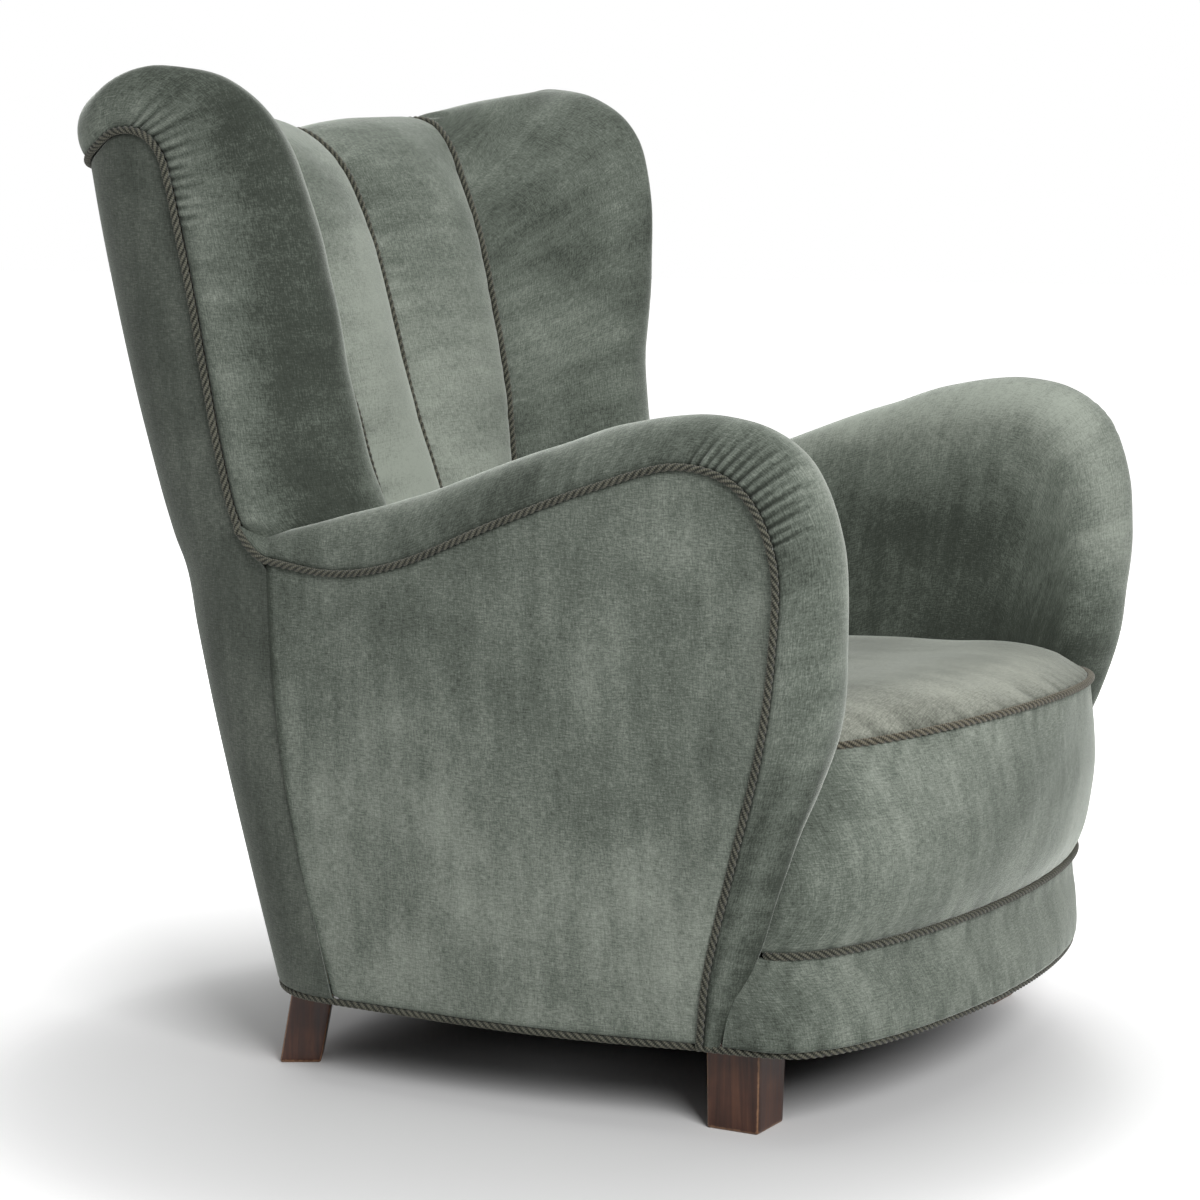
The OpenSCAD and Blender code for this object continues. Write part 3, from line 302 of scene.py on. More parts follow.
# %% Seams and ridges, as shares
BACK_WIDTH = [(0, 0.902), (0.13, 0.907), (0.26, 0.915), (0.39, 0.924), (0.465, 0.926),
              (0.515, 0.919), (0.58, 0.922), (0.665, 0.931), (0.765, 0.94), (0.87, 0.947), (0.93, 0.946)]
BACK_EDGE = [(0, 0.619), (0.13, 0.648), (0.26, 0.669), (0.39, 0.681), (0.465, 0.686), (0.487, 0.706),
             (0.515, 0.723), (0.58, 0.741), (0.665, 0.755), (0.765, 0.771), (0.87, 0.791), (0.93, 0.803)]
BACK_MIDDLE = [(0, 0.784), (0.13, 0.818), (0.26, 0.85), (0.39, 0.881), (0.515, 0.911),
               (0.64, 0.944), (0.765, 0.972), (0.89, 0.994), (0.93, 1)]
BACK_SQUARE = [(0, 2.5), (0.46, 2.8), (0.75, 3), (0.93, 3)]
BACK_TOP = [(0, 0.895), (0.5, 0.914), (3.5, 0.931), (10.5, 0.93), (21, 0.914), (35, 0.901),
            (51, 0.895), (66, 0.893), (90, 0.891)]
ARM_CORD = [(0.937, 0.683, 0.737), (0.956, 0.595, 0.725), (0.976, 0.509, 0.751), (0.988, 0.395, 0.826),
            (0.993, 0.289, 0.889), (0.99, 0.2, 0.926), (0.983, 0.137, 0.891), (0.978, 0.105, 0.786),
            (0.973, 0.107, 0.648), (0.944, 0.126, 0.492), (0.902, 0.162, 0.311), (0.863, 0.197, 0.13),
            (0.834, 0.212, -0.004)]
ARM_RIDGE = [(0.859, 0.695, 0.777), (0.873, 0.607, 0.812), (0.883, 0.496, 0.864), (0.885, 0.389, 0.927),
             (0.885, 0.279, 0.981), (0.883, 0.179, 1), (0.878, 0.098, 0.948), (0.871, 0.062, 0.82),
             (0.866, 0.06, 0.665), (0.854, 0.073, 0.501), (0.844, 0.116, 0.316), (0.832, 0.157, 0.13),
             (0.824, 0.195, -0.004)]
ARM_INNER = [(0.771, 0.689, 0.713), (0.768, 0.6, 0.725), (0.766, 0.5, 0.76), (0.768, 0.395, 0.829),
             (0.768, 0.292, 0.889), (0.766, 0.207, 0.914), (0.759, 0.144, 0.876), (0.746, 0.115, 0.777),
             (0.732, 0.108, 0.648), (0.72, 0.111, 0.501), (0.804, 0.14, 0.311), (0.822, 0.165, 0.13),
             (0.82, 0.203, -0.004)]
ARM_TUCK = [(0.693, 0.637, 0.432), (0.695, 0.574, 0.427), (0.698, 0.5, 0.423), (0.7, 0.416, 0.423),
            (0.702, 0.332, 0.423), (0.705, 0.258, 0.423), (0.705, 0.205, 0.423), (0.707, 0.174, 0.423),
            (0.707, 0.158, 0.415), (0.71, 0.147, 0.402), (0.797, 0.163, 0.306), (0.816, 0.18, 0.13),
            (0.818, 0.216, -0.004)]
ARM_TAIL = [[(0.921, 0.7225, 0.787), (0.917, 0.722, 0.79), (0.9, 0.72, 0.785), (0.745, 0.695, 0.7)],
            [(0.932, 0.704, 0.757), (0.873, 0.711, 0.786), (0.8, 0.703, 0.75), (0.705, 0.655, 0.45)]]
ARM_FOOT = [(0.9, 0.616), (0.903, 0.542), (0.907, 0.468), (0.905, 0.415), (0.898, 0.368), (0.888, 0.332),
            (0.878, 0.305), (0.868, 0.282), (0.859, 0.26), (0.851, 0.245), (0.845, 0.232), (0.84, 0.222),
            (0.836, 0.214)]
WING_RIDGE = [(0.659, 0.624, 0.525), (0.678, 0.641, 0.588), (0.717, 0.653, 0.665), (0.785, 0.655, 0.765),
              (0.854, 0.671, 0.888), (0.876, 0.702, 0.953), (0.883, 0.751, 0.989), (0.88, 0.814, 1),
              (0.82, 0.842, 0.991), (0.732, 0.858, 0.98), (0.629, 0.871, 0.969), (0.541, 0.884, 0.962)]
WING_CORD = [(0, 0.513), (0, 0.585), (0, 0.665), (0, 0.765), (0, 0.868), (0.5, 0.914), (3.5, 0.931),
             (10.5, 0.93), (21, 0.914), (35, 0.901), (51, 0.895), (65, 0.893)]
WING_SEAM = [0.175, 0.24, 0.32, 0.385, 0.455, 0.5, 0.54, 0.58, 0.625, 0.665, 0.705, 0.745]
MIDDLE_SEAM = [(0, 0.679, 0.321), (0, 0.708, 0.419), (0, 0.739, 0.517), (0, 0.759, 0.575),
               (0, 0.778, 0.634), (0, 0.8, 0.721), (0, 0.826, 0.81), (0, 0.854, 0.879), (0, 0.883, 0.917),
               (0, 0.917, 0.939), (0, 0.953, 0.934), (0, 0.979, 0.914), (0, 0.992, 0.887)]
SIDE_SEAM = [(0.254, 0.677, 0.321), (0.285, 0.7, 0.419), (0.322, 0.723, 0.508), (0.349, 0.736, 0.572),
             (0.371, 0.747, 0.631), (0.415, 0.776, 0.726), (0.449, 0.804, 0.812), (0.476, 0.832, 0.875),
             (0.498, 0.856, 0.925), (0.517, 0.887, 0.955), (0.517, 0.93, 0.955), (0.517, 0.963, 0.93),
             (0.517, 0.982, 0.889)]
CHANNEL_CROWN = [(0, 1), (0.3, 1), (0.55, 0.98), (0.66, 0.7), (0.75, 0.38), (0.85, 0.36), (1, 0.2)]
CHANNEL_LEAN = [10, 11, 12, 14, 15, 18, 22, 36, 60, 90, 125, 150, 165]
BOW_W = HALF_W * 0.834
BOW_FRONT = [(0, 0.038), (0.317, 0.0435), (0.39, 0.031), (0.563, 0.014), (0.8, 0.003), (1, 0)]
BOW_DEPTH = [(0, 0.113), (0.317, 0.105), (0.48, 0.119), (0.625, 0.136), (0.8, 0.170), (1, 0.22)]
BOW_END = [(0, 0.99), (0.317, 0.989), (0.625, 0.972), (0.8, 0.92), (1, 0.854)]
BOW_RETURN = [(0, 0.055), (0.1, 0.0455), (0.2, 0.03), (0.3, 0.017), (0.34, 0.0172), (0.4, 0.023),
              (0.5, 0.0215), (0.6, 0.0178), (0.7, 0.0152), (0.8, 0.0125), (0.9, 0.0088), (1, 0.0088)]
BAND_SHARE = 0.3174
SEAT_DIP = 0.014
SEAT_CROWN = 0.026
SEAT_PROFILE = [0, 0.6, 0.92, 1, 0.96, 0.88, 0.8, 0.71, 0.6, 0.46, 0.24, -0.36, -0.6]
print(len(ARM_CORD), "stations along an arm,", len(WING_RIDGE), "along a wing")


# %% Points of the outer back and of the bowed seat front
BOW_TURN = 0.12


def back_point(angle, share):
    """The outer back's skin, by degrees round from the side and share of the body's height."""
    angle, share = np.radians(angle), np.asarray(share, float)
    power = 2 / smooth(share, BACK_SQUARE)
    edge = FRONT_Y + DEPTH * smooth(share, BACK_EDGE)
    reach = FRONT_Y + DEPTH * smooth(share, BACK_MIDDLE) - edge
    x = HALF_W * smooth(share, BACK_WIDTH) * np.maximum(np.cos(angle), 0) ** power
    y = edge + reach * np.maximum(np.sin(angle), 0) ** power
    return np.stack([x, y, LEG_H + BODY_H * share + 0 * x], axis=-1)


def bow_point(s, share):
    """The seat front's skin, for s from -1 to 1 and on past the ends, where it returns to the arm."""
    s, share = np.asarray(s, float), np.asarray(share, float)
    x = np.clip(s, -1, 1) * BOW_W * smooth(share, BOW_END)
    past = np.maximum(np.abs(s) - 1, 0) / BOW_TURN * DEPTH * smooth(share, BOW_RETURN)
    y = (FRONT_Y + DEPTH * smooth(share, BOW_FRONT)
         + DEPTH * smooth(share, BOW_DEPTH) * (1 - np.sqrt(np.maximum(1 - (x / BOW_W) ** 2, 0))))
    return np.stack([x, y + past, LEG_H + SEAT_RISE * share + 0 * x], axis=-1)


def evened(line):
    return (line[:-2] + 2 * line[1:-1] + line[2:]) / 4


def ease_corners(line, s, passes=26):
    """Rounds a bowed line or grid where it turns back to the arm, at s near 1 and -1."""
    corner = (np.abs(np.abs(s) - 0.99) < 0.11)[1:-1].reshape((-1,) + (1,) * (line.ndim - 1))
    for _ in range(passes):
        line[1:-1] = np.where(corner, evened(line), line[1:-1])
    return line


def seat_edge(s):
    """The seam round the front of the seat's top."""
    p = bow_point(s, np.ones_like(np.asarray(s, float)))
    p[..., 2] -= SEAT_DIP * np.minimum(np.asarray(s) ** 2, 1)
    return p


print("back middle at the top", np.round(back_point(90, 0.89), 3))

# %% [markdown]
# A cover is made as a grid of points: rows run along the seam and columns cross the padding.
# Each row is walked again by length, so the squares stay even and the weave isn't stretched.
# Beside a seam the skin rolls in by a few millimetres, which is what sewing does to thick velvet,
# and it leaves a valley in which the rope cord nestles.

# %% Tools for grids
CORD_SEAM = ("first_column",)
SEAMS = ("first_column", "last_column")
ALL_SIDES = SEAMS + ("first_row", "last_row")


def by_length(rows, places):
    """Each row of points again, at the given shares of its own length."""
    walked = np.empty((len(rows), len(places), 3))
    for i, row in enumerate(rows):
        run = np.concatenate([[0], np.cumsum(np.linalg.norm(np.diff(row, axis=0), axis=1))])
        for axis in range(3):
            walked[i, :, axis] = np.interp(places * run[-1], run, row[:, axis])
    return walked


def stations(count, *crowd):
    """Places that crowd together where the (place, density) pairs say so."""
    place, density = np.array(crowd, float).T
    fine = np.linspace(place[0], place[-1], 2000)
    share = np.cumsum(np.interp(fine, place, density))
    return np.interp(np.linspace(share[0], share[-1], count), share, fine)


def run_of(grid, axis):
    step = np.linalg.norm(np.diff(grid, axis=axis), axis=-1)
    return np.cumsum(np.pad(step, [(1, 0), (0, 0)] if axis == 0 else [(0, 0), (1, 0)]), axis=axis)


def share_across(grid):
    across = run_of(grid, 1)
    return across / across[:, -1:]


def raised(grid, core, by):
    """The grid pushed out along its normals, away from a point inside the padding."""
    n = np.cross(np.gradient(grid, axis=0), np.gradient(grid, axis=1))
    n /= np.linalg.norm(n, axis=-1, keepdims=True) + 1e-12
    return grid + (n if np.sum(n * (grid - core)) > 0 else -n) * by[..., None]


def seam_distance(grid, sides):
    """How far each point lies from the nearest of the named sides, along the skin."""
    rows, columns = run_of(grid, 0), run_of(grid, 1)
    reach = {"first_row": rows, "last_row": rows[-1:] - rows,
             "first_column": columns, "last_column": columns[:, -1:] - columns}
    return np.min([reach[side] for side in sides], axis=0)


def hump(x, middle, width):
    """1 at the middle, falling softly to 0 over about twice the width."""
    return np.exp(-((x - middle) / width) ** 2)


def arch(x, start, width):
    """The half wave of a swell from start, 0 on both sides of it."""
    return np.sin(np.clip((x - start) / width, 0, 1) * math.pi)


# %% Tools for sewing and stuffing
SEAM_ROLL, ROLL_SINK = 0.0062, 0.8
SEAM_SHADOW = 0.0042
HEM_REACH = 0.022


def sewn(grid, core, sides, roll=SEAM_ROLL):
    near = np.clip(1 - seam_distance(grid, sides) / roll, 0, 1)
    return raised(grid, core, -roll * (1 - np.sqrt(1 - near ** 2)) * ROLL_SINK)


def soften(grid, core, amount, size, seed):
    """A hand-stuffed unevenness, gone at the edges of the grid."""
    swell = np.array([noise.noise(Vector(p / size + seed)) for p in grid.reshape(-1, 3)])
    edge = ease(seam_distance(grid, ALL_SIDES), 0.0, 0.02)
    return raised(grid, core, amount * swell.reshape(grid.shape[:2]) * edge)


def gathers(run, off, places, lengths, depth, width=0.0014):
    """The puckers of a gathered seam: deep at the seam and gone a few centimetres away."""
    rise = np.zeros_like(off)
    last = len(places) - 1
    for k, (at, length) in enumerate(zip(places, lengths)):
        fade = np.clip(1 - off / length, 0, 1) * ease(off, -0.001, 0.003)
        fade = fade * (0.85 + 0.3 * math.sin(2.9 * k + 4.0))
        rise -= depth * np.clip(fade, 0, 2) ** 0.8 * hump(run, at, width + 0.030 * off)
        half = (places[min(k + 1, last)] - places[max(k - 1, 0)]) / 4
        rise += 0.50 * depth * fade * hump(run - at, half, half * 0.8)
    return rise


TUCKS = {  # first place, step, count, sway and its beat; length, more of it and its beat; width
    "panel": (0.05, 0.043, 24, 0.008, 5.1, 0.035, 0.020, 2.3, 0.006),
    "channel": (0.06, 0.034, 25, 0.007, 3.7, 0.022, 0.020, 1.9, 0.005),
    "bow": (0.05, 0.037, 25, 0.006, 4.3, 0.018, 0.016, 2.7, 0.005),
    "seat": (0.04, 0.031, 28, 0.006, 3.1, 0.020, 0.022, 2.1, 0.005),
}


def small_tucks(kind, grid, off, depth):
    """Faint tucks along a seam, uneven in place and length."""
    start, step, count, sway, beat, length, more, length_beat, width = TUCKS[kind]
    k = np.arange(count)
    return gathers(run_of(grid[:, :1], 0), off, start + step * k + sway * np.sin(beat * k),
                   length + more * np.sin(length_beat * k) ** 2, depth, width)


def padding(outside, core, thickness, sides, least=0.002):
    """The inner skin of a pad: its thickness runs out to a hem beside the named sides."""
    thick = least + (thickness - least) * ease(seam_distance(outside, sides), 0.0, HEM_REACH)
    return raised(outside, core, -thick)


def seam_shade(grid, sides):
    """-1 in the valley beside a seam, where it paints shade into the velvet, rising to 0 a little way
    off.
    """
    return -np.exp(-seam_distance(grid, sides) / SEAM_SHADOW)


print("covers roll in", SEAM_ROLL * 1000, "mm beside a seam")

# %% [markdown]
# Every piece becomes a mesh with its material, and stands for the CAD nodes whose place it takes.
# A cover also stores where each point lies on the flat cloth, for the weave, and a mark of painted light
# and shade: above 0 it paints the velvet lighter, below 0 darker.

# %% Pieces and covers
MIRROR = np.array([-1.0, 1.0, 1.0])


def quads_of(n, m):
    """The corners of every square in a grid of n by m points."""
    index = np.arange(n * m).reshape(n, m)
    return np.stack([index[:-1, :-1], index[1:, :-1], index[1:, 1:], index[:-1, 1:]], -1).reshape(-1, 4)


def make_piece(name, points, faces, material, node, slot, mirrored=False, weld=0.0, **stored):
    """A smooth mesh that replaces a CAD node, with its stored values for the material."""
    points = np.reshape(points, (-1, 3))
    if mirrored:
        points, faces = points * MIRROR, [face[::-1] for face in faces]
    mesh = bpy.data.meshes.new(name)
    mesh.from_pydata(points.tolist(), [], faces)
    for key, values in stored.items():
        kind, field = ("FLOAT_VECTOR", "vector") if key == "cloth" else ("FLOAT", "value")
        mesh.attributes.new(key, kind, "POINT").data.foreach_set(field, np.ravel(values))
    if weld:
        shell = bmesh.new()
        shell.from_mesh(mesh)
        bmesh.ops.remove_doubles(shell, verts=shell.verts, dist=weld)
        shell.to_mesh(mesh)
        shell.free()
    mesh.polygons.foreach_set("use_smooth", [True] * len(mesh.polygons))
    mesh.materials.append(material)
    piece = in_scene(name, mesh)
    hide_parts(node)
    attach(piece, "root")
    return piece


def laid(u, v):
    """Places on the flat cloth, from two lengths."""
    return np.stack([u, v, 0 * v], -1)


def cover(name, node, outside, inside, fold, cloth=None, mirrored=False, material=velvet):
    """A closed pad between an outer and an inner skin."""
    n, m = outside.shape[:2]
    index = np.arange(n * m).reshape(n, m)
    rim = np.concatenate([index[0], index[1:, -1], index[-1, -2::-1], index[-2:0:-1, 0]])
    after = np.roll(rim, -1)
    walls = np.stack([rim + n * m, after + n * m, after, rim], -1)
    quads = quads_of(n, m)
    faces = np.concatenate([quads, quads[:, ::-1] + n * m, walls])
    i, j = n // 2, m // 2
    middle = outside[i, j]
    normal = np.cross(outside[i + 1, j] - middle, outside[i, j + 1] - middle)
    if np.dot(normal, middle - inside[i, j]) < 0:
        faces = faces[:, ::-1]
    if cloth is None:
        across = run_of(outside, 1)
        cloth = laid(run_of(outside, 0).mean(axis=1)[:, None] + 0 * across, across)
    piece = make_piece(name, [outside, inside], faces.tolist(), material, node, "velvet", mirrored,
                       cloth=[cloth, cloth], fold=[fold, fold])
    return piece


def cover_pair(name, node, outside, inside, folds, cloth=None):
    """A cover on the sitter's left and its mirror image on the right, each with its own painted light and
    shade.
    """
    return [cover(side + name, side + node, outside, inside, fold, cloth, side == "right_")
            for side, fold in zip(("left_", "right_"), folds)]

# %% [markdown]
# The rolled arm is one long pad. Its section is a quarter roll up from the outer cord to a ridge,
# a second one down to the inner edge, and a flat side that tucks in beside the seat. Velvet is
# gathered where the cord turns round the arm's front, because the ridge has further to go than the
# cord. Those gathers are sharp valleys, so the rows crowd together there.

# %% Rolled arms
ARM_PAD = 0.022
ARM_CORE = np.array([0.345, -0.15, 0.5])
ARM_PLEAT_DEPTH = 0.0027
ARM_PLEATS_FROM_TO = (0.425, 0.572)
ARM_TAIL_ROWS = 12


def quarter(edge, ridge, side, turn):
    """A quarter roll from its edge, at turn 0, to its ridge, at turn 1."""
    across = side * np.sum((edge - ridge) * side, axis=-1, keepdims=True)
    rise = (edge - ridge) - across
    turn = turn * math.pi / 2
    return ridge[..., None, :] + (across[..., None, :] * np.cos(turn)[:, None]
                                  + rise[..., None, :] * (1 - np.sin(turn))[:, None])


def arm_rows(edge, ridge, inner, tuck):
    turn = np.linspace(0, 1, 24)
    side = inner[:, None, :] + (tuck - inner)[:, None, :] * np.linspace(0, 1, 12)[1:, None]
    return np.concatenate([quarter(edge, ridge, ACROSS, turn),
                           quarter(inner, ridge, ACROSS, turn[::-1])[:, 1:], side], axis=1)


def arm_grid():
    t = stations(430, (0, 1), (0.36, 1), (0.4, 4), (0.59, 4), (0.64, 1), (1, 1))
    body = arm_rows(*(arm_curve(keys, t) for keys in (ARM_CORD, ARM_RIDGE, ARM_INNER, ARM_TUCK)))
    tail = arm_rows(*(placed([row[k] for row in ARM_TAIL], ARM_RISE) for k in range(4)))
    lead = along(np.concatenate([tail, body[[0, 5]]]), np.linspace(0, 2 / 3, ARM_TAIL_ROWS + 1)[:-1])
    places = stations(92, (0, 3), (0.03, 2), (0.1, 1.2), (0.45, 1), (0.8, 0.5), (1, 0.5))
    return by_length(np.concatenate([lead, body]), places), np.concatenate([np.zeros(ARM_TAIL_ROWS), t])


arm_skin, arm_t = arm_grid()
arm_skin = soften(arm_skin, ARM_CORE, amount=0.0016, size=0.055, seed=3.0)
cord_run = run_of(arm_skin[:, :1], 0)
first_pleat, last_pleat = np.interp(ARM_PLEATS_FROM_TO, arm_t, cord_run[:, 0])
pleat_places, pleat_lengths = [], []
at = first_pleat
while at < last_pleat:
    wobble = noise.noise(Vector((at * 90, 4.0, 1.0)))
    middle = 1 - abs((at - first_pleat) / (last_pleat - first_pleat) * 2 - 1)
    pleat_places.append(at + 0.0012 * wobble)
    pleat_lengths.append(0.046 + 0.024 * middle + 0.016 * wobble)
    at += 0.0080 + 0.0020 * wobble
arm_pleats = gathers(cord_run, run_of(arm_skin, 1), pleat_places, pleat_lengths, ARM_PLEAT_DEPTH)
arm_skin = sewn(raised(arm_skin, ARM_CORE, arm_pleats), ARM_CORE, CORD_SEAM)
arm_room = [HALF_W * (cord[0] - inner[0]) / 3 for cord, inner in zip(ARM_CORD, ARM_INNER)]
arm_thick = np.minimum(ARM_PAD, np.interp(arm_t, np.linspace(0, 1, len(arm_room)), arm_room))
arm_thick = arm_thick * (0.25 + 0.75 * ease(np.arange(len(arm_t)), 0, ARM_TAIL_ROWS + 2))
arm_lining = padding(arm_skin, ARM_CORE, arm_thick[:, None], CORD_SEAM)
print(len(pleat_places), "gathers round an arm's front")

# %% [markdown]
# The crest of the roll is painted lighter, as a highlight where the lamps catch it, and the inside of the
# arm, the valley beside the cord and the front low down are painted darker, as shade. The outside of the
# arm is a flat panel, a little proud in its middle, with faint tucks below the cord and a foot painted
# lighter.

# %% Painted light and shade of the arms
arm_around, arm_z = share_across(arm_skin), arm_skin[..., 2]
arm_painted_highlight = (0.55 + 0.50 * ease(arm_z, 0.54, 0.64)) * hump(arm_around, 0.26, 0.12)
arm_inside_painted_shade = (0.34 + 0.30 * ease(arm_z, 0.42, 0.52)) * ease(arm_around, 0.42, 0.64)
arm_cord_painted_shade = 0.42 * hump(arm_around, 0.0, 0.16) * ease(arm_z, 0.42, 0.58)
arm_low_painted_shade = 0.70 * (1 - ease(arm_z, 0.26, 0.56)) * ease(arm_around, 0.04, 0.14)
# Gathers are painted darker in their valleys and lighter on their crests. The other terms paint the
# highlight and shade named above, and painted shade lies beside the cord.
arm_painted_light_and_shade = (1.1 * arm_pleats / ARM_PLEAT_DEPTH + arm_painted_highlight - arm_inside_painted_shade - arm_cord_painted_shade - arm_low_painted_shade
             + seam_shade(arm_skin, CORD_SEAM))
arm_pieces = cover_pair("arm_cover", "arm_pad", arm_skin, arm_lining, [arm_painted_light_and_shade] * 2)

# %% Outside panels of the arms
PANEL_T = 0.007
PANEL_SWELL = 0.005
PANEL_TUCK = 0.0006
PANEL_FOOT_Z = LEG_H + 0.002
PANEL_CORE = np.array([0.2, -0.2, 0.35])
PANEL_REAR_SHIFT = (-0.002, 0.0035, 0.0)


def base_curve(t, inset, z):
    """The line round the side of the chair's foot."""
    x, y = along(ARM_FOOT, t).T
    return np.stack([HALF_W * x - inset, FRONT_Y + DEPTH * y, np.full(len(t), z)], -1)


def panel_grid():
    t = stations(150, (0, 1), (0.3, 1), (0.5, 1.6), (0.998, 1.0024))
    top, foot = arm_curve(ARM_CORD, t), base_curve(t, 0, PANEL_FOOT_Z)
    v = stations(90, (0, 2.5), (0.06, 1), (0.94, 1), (1, 2.5))[None, :, None]
    lean = np.stack([PANEL_SWELL * (1 - t), 3 * PANEL_SWELL * (1 - t) ** 4, 0 * t], -1)[:, None, :]
    return top[:, None] + (foot - top)[:, None] * v + lean * np.sin(v * math.pi)


panel_skin = panel_grid()
panel_tucks = small_tucks("panel", panel_skin, seam_distance(panel_skin, CORD_SEAM), PANEL_TUCK)
panel_skin = soften(panel_skin, PANEL_CORE, amount=0.0014, size=0.11, seed=7.0)
panel_skin = raised(panel_skin, PANEL_CORE, panel_tucks)
panel_skin = sewn(sewn(panel_skin, PANEL_CORE, SEAMS), PANEL_CORE, ("first_row",), 0.0022)
panel_skin[0] += PANEL_REAR_SHIFT
# The panel's lower part is painted lighter, as light, and painted shade lies along its seams and its top
# row.
panel_painted_light_and_shade = (0.02 + 0.42 * (1 - ease(panel_skin[..., 2], 0.16, 0.40))
               + seam_shade(panel_skin, SEAMS + ("first_row",)))
panel_lining = padding(panel_skin, PANEL_CORE, PANEL_T, SEAMS)
arm_pieces += cover_pair("arm_side", "arm_panel", panel_skin, panel_lining, [panel_painted_light_and_shade] * 2,
                         laid(panel_skin[..., 1], panel_skin[..., 2]))
print([len(piece.data.vertices) for piece in arm_pieces], "points in the arms' covers")

# %% [markdown]
# Each wing is padded round its front edge and reaches across to the channelled back. Its section
# leaves the outer cord square to the cover, turns over a ridge and runs in a soft bend to the side
# seam. Where the cord turns over the top of the wing the velvet is gathered again.

# %% Wings
WING_PAD = 0.030
WING_CORE = np.array([0.30, 0.29, 0.62])
WING_REACH = 0.052
WING_FOOT_CORD = [(0.7, 0.66, 0.321), (0.79, 0.69, 0.43), (0.892, 0.713, 0.494)]
WING_FOOT_RIDGE = [(0.66, 0.597, 0.321), (0.652, 0.61, 0.43), (0.655, 0.621, 0.503)]
WING_FOOT_SEAM = (0, 0.083, 0.158)
WING_FOOT_ROWS, WING_HEM_ROWS = 36, 6
HEM_SHIFT = np.array([0.0, 0.002, 0.003])


def bend(p, q, s, t):
    t = t[None, :, None]
    return (1 - t) ** 2 * p[:, None] + 2 * t * (1 - t) * q[:, None] + t ** 2 * s[:, None]


def wing_rows(edge, ridge, seam, side):
    reach = np.minimum(WING_REACH, np.linalg.norm(ridge - seam, axis=-1) / 2)[:, None]
    inner = bend(ridge, ridge - reach * side, seam, np.linspace(0, 1, 30)[1:])
    return np.concatenate([quarter(edge, ridge, side, np.linspace(0, 1, 26)), inner], axis=1)


def wing_grid():
    t = stations(330, (0, 1), (0.25, 1), (0.32, 2.2), (0.75, 2.2), (0.85, 1), (1, 1))
    angle, share = along(WING_CORD, t).T
    angle = np.maximum(angle, 0)
    turn = np.radians(np.minimum(angle * 1.5, 90))
    body = wing_rows(back_point(angle, share), body_curve(WING_RIDGE, t),
                     body_curve(SIDE_SEAM, along(WING_SEAM, t)),
                     np.stack([np.cos(turn), np.sin(turn), 0 * turn], -1))
    foot = wing_rows(placed(WING_FOOT_CORD, BODY_H), placed(WING_FOOT_RIDGE, BODY_H),
                     body_curve(SIDE_SEAM, WING_FOOT_SEAM), ACROSS[None])
    lead = along(np.concatenate([foot, body[[0, 4]]]), np.linspace(0, 0.75, WING_FOOT_ROWS + 1)[:-1])
    places = stations(96, (0, 2.5), (0.04, 1.3), (0.5, 1), (0.92, 1), (1, 2.5))
    grid = by_length(np.concatenate([lead, body]), places)
    hem = by_length((body_curve(SIDE_SEAM, np.linspace(1, WING_SEAM[-1], 60)) - HEM_SHIFT)[None], places)
    steps = np.linspace(0, 1, WING_HEM_ROWS + 1)[1:, None, None]
    return (np.concatenate([grid, grid[-1:] + (hem - grid[-1:]) * steps]),
            np.concatenate([np.zeros(WING_FOOT_ROWS), t, np.ones(WING_HEM_ROWS)]))


wing_skin, wing_t = wing_grid()
print("a wing's skin has", wing_skin.shape[:2], "rows and columns")

# %% Fullness and gathers of the wings
WING_OVERHANG = 0.021
WING_CROWN = 0.007
WING_HOLLOW = 0.0215
WING_PLEAT_DEPTH = 0.0022
WING_PLEATS_FROM_TO = (0.325, 0.575)

wing_around = share_across(wing_skin)
for by, part, shape in (
        (WING_OVERHANG, ease(wing_t, 0.55, 0.72) * (1 - ease(wing_t, 0.78, 0.98)),
         arch(wing_around, 0.0, 0.30) ** 0.8),
        (WING_CROWN, ease(wing_t, 0.54, 0.74) * (1 - ease(wing_t, 0.96, 1)),
         arch(wing_around, 0.3, 0.65)),
        (-WING_HOLLOW, 1 - ease(wing_t, 0.28, 0.46), hump(wing_around, 0.74, 0.14))):
    wing_skin = raised(wing_skin, WING_CORE, by * part[:, None] * shape)
wing_skin = soften(wing_skin, WING_CORE, amount=0.0022, size=0.06, seed=11.0)
wing_run = run_of(wing_skin[:, :1], 0)
first_pleat, last_pleat = np.interp(WING_PLEATS_FROM_TO, wing_t, wing_run[:, 0])
pleat_places = np.arange(first_pleat, last_pleat, 0.0092)
pleat_places = pleat_places + 0.0018 * np.sin(pleat_places * 700)
upper = ease(pleat_places, first_pleat + 0.35 * (last_pleat - first_pleat), last_pleat)
pleat_lengths = 0.034 + 0.030 * upper + 0.010 * np.sin(pleat_places * 431)
wing_pleats = gathers(wing_run, run_of(wing_skin, 1), pleat_places, pleat_lengths, WING_PLEAT_DEPTH,
                      0.0018)
wing_skin = sewn(raised(wing_skin, WING_CORE, wing_pleats), WING_CORE, SEAMS)
wing_lining = padding(wing_skin, WING_CORE, WING_PAD, SEAMS + ("last_row",), 0.0015)

